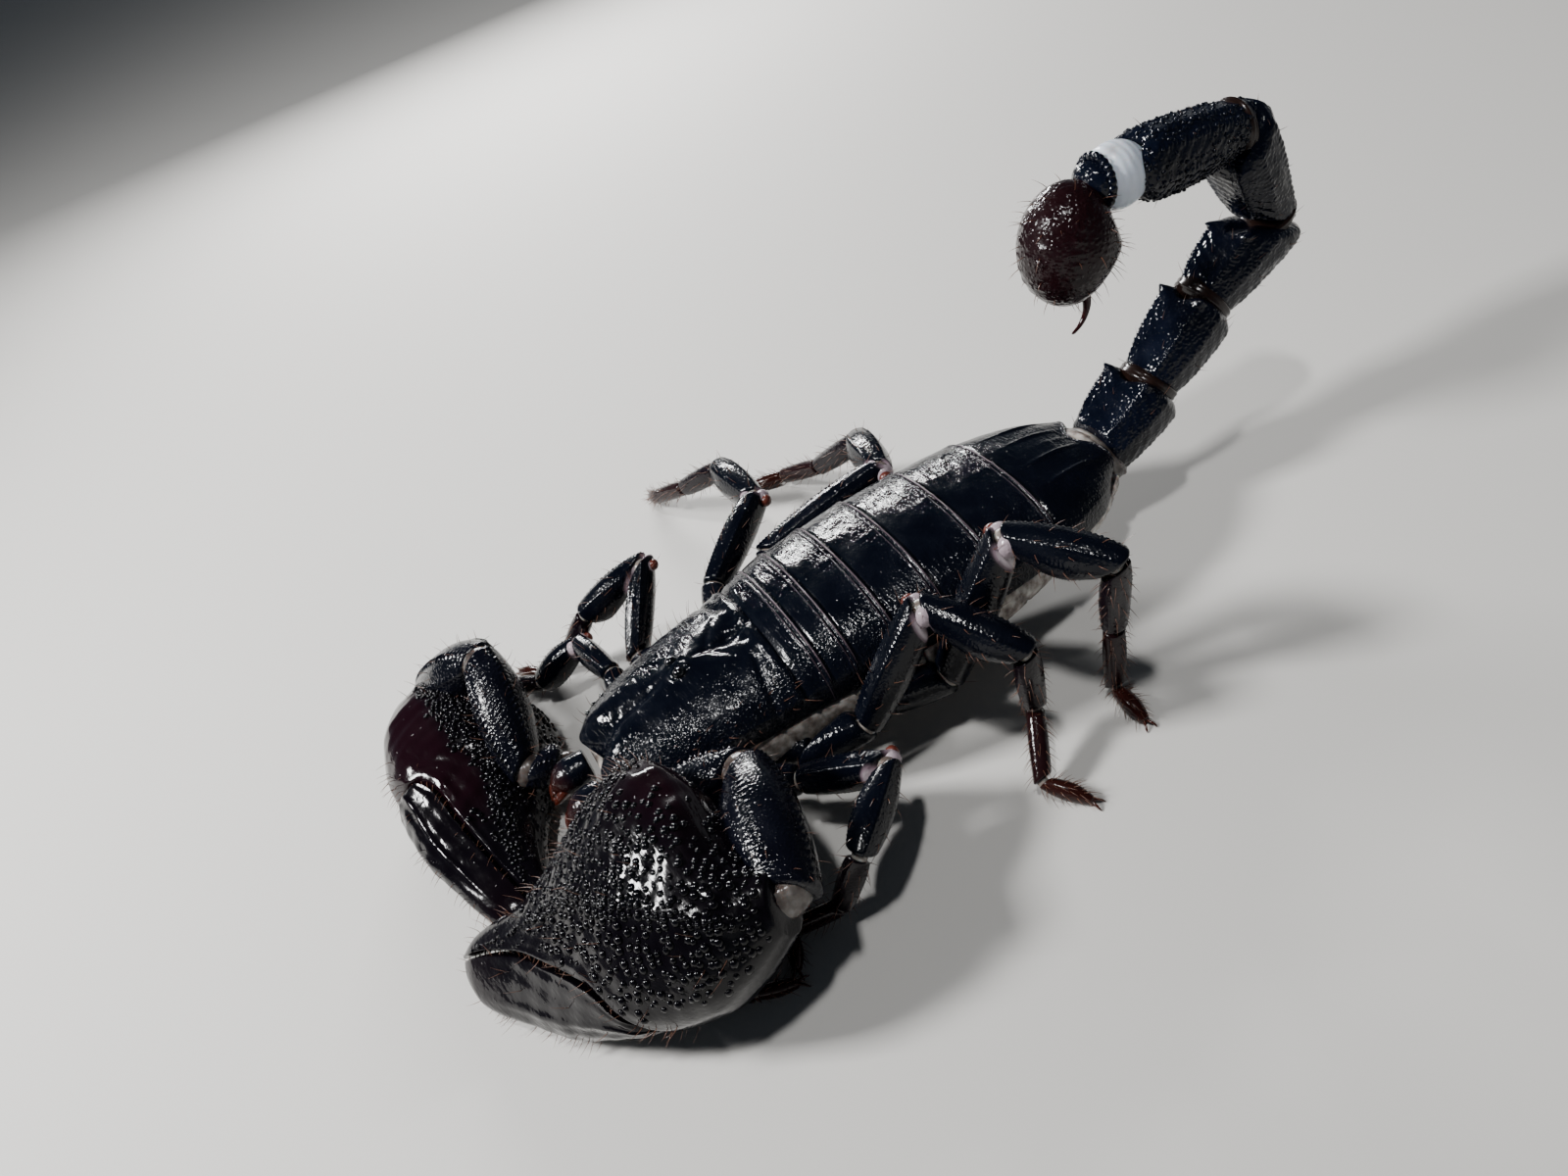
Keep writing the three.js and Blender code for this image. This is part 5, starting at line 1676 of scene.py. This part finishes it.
# %% Camera, light and floor
def point_at(thing, place, target, roll=0.0):
    """Turns a camera or a lamp so that it looks from one place to another."""
    place, target = Vector(place), Vector(target)
    back = (place - target).normalized()
    right = Vector((0, 0, 1)).cross(back).normalized()
    up = back.cross(right)
    turned = Matrix((right, up, back)).transposed() @ Matrix.Rotation(roll, 3, "Z")
    thing.matrix_world = Matrix.Translation(place) @ turned.to_4x4()


def lamp(name, direction, distance_mm, size_mm, watts, target):
    """A rectangular soft light at a distance from its target, and turned toward it."""
    data = bpy.data.lights.new(name, "AREA")
    data.shape, data.size, data.size_y, data.energy = "RECTANGLE", size_mm[0] * MM, size_mm[1] * MM, watts
    made = bpy.data.objects.new(name, data)
    bpy.context.scene.collection.objects.link(made)
    target = (np.array(target) + ORIGIN) * MM
    point_at(made, target + unit(np.array(direction, float)) * distance_mm * MM, target)
    return made


CAMERA_PLACE, CAMERA_TARGET, CAMERA_ROLL = (112.6, 4.9, 119.5), (-7.2, 34.5, 15.0), -22.7
FOCAL_LENGTH, SENSOR_WIDTH = 27.19, 36.0
camera_data = bpy.data.cameras.new("camera")
camera_data.lens, camera_data.sensor_width, camera_data.clip_start = FOCAL_LENGTH, SENSOR_WIDTH, 0.001
camera = bpy.data.objects.new("camera", camera_data)
bpy.context.scene.collection.objects.link(camera)
point_at(camera, (np.array(CAMERA_PLACE) + ORIGIN) * MM, (np.array(CAMERA_TARGET) + ORIGIN) * MM,
         roll=np.radians(CAMERA_ROLL))
bpy.context.scene.camera = camera

lamp("light at the head end", (-0.24, -0.68, 0.69), 420, (80, 80), 3.4, (0, 20, 12))
lamp("light along the back", (-0.93, 0.18, 0.33), 420, (200, 12), 2.0, (0, 40, 15))
lamp("light from above", (0.16, -0.1, 0.95), 700, (40, 60), 2.6, (0, 35, 10))

world = bpy.data.worlds.new("pale room")
world.use_nodes = True
tree = world.node_tree
height = add(tree, "ShaderNodeSeparateXYZ", {"Vector": add(tree, "ShaderNodeTexCoord").outputs["Generated"]})
wall = tinted(tree, height.outputs["Z"], (0.04, "#b4b8bd"), (0.5, "#3a4048"), (0.2, "#6f7780"))
tree.links.new(wall, tree.nodes["Background"].inputs["Color"])
tree.nodes["Background"].inputs["Strength"].default_value = 0.7
bpy.context.scene.world = world

# The floor reaches this many metres to each side.
REACH = 3
floor_mesh = bpy.data.meshes.new("floor")
floor_mesh.from_pydata([(-REACH, -REACH, 0), (REACH, -REACH, 0), (REACH, REACH, 0), (-REACH, REACH, 0)], [],
                       [(0, 1, 2, 3)])
floor = bpy.data.objects.new("floor", floor_mesh)
bpy.context.scene.collection.objects.link(floor)
floor_paint, _, _ = blank("pale floor", Base_Color=colour("#bfbdb9"), Roughness=0.8)
floor_mesh.materials.append(floor_paint)
print("camera height above the floor in mm:", CAMERA_PLACE[2])
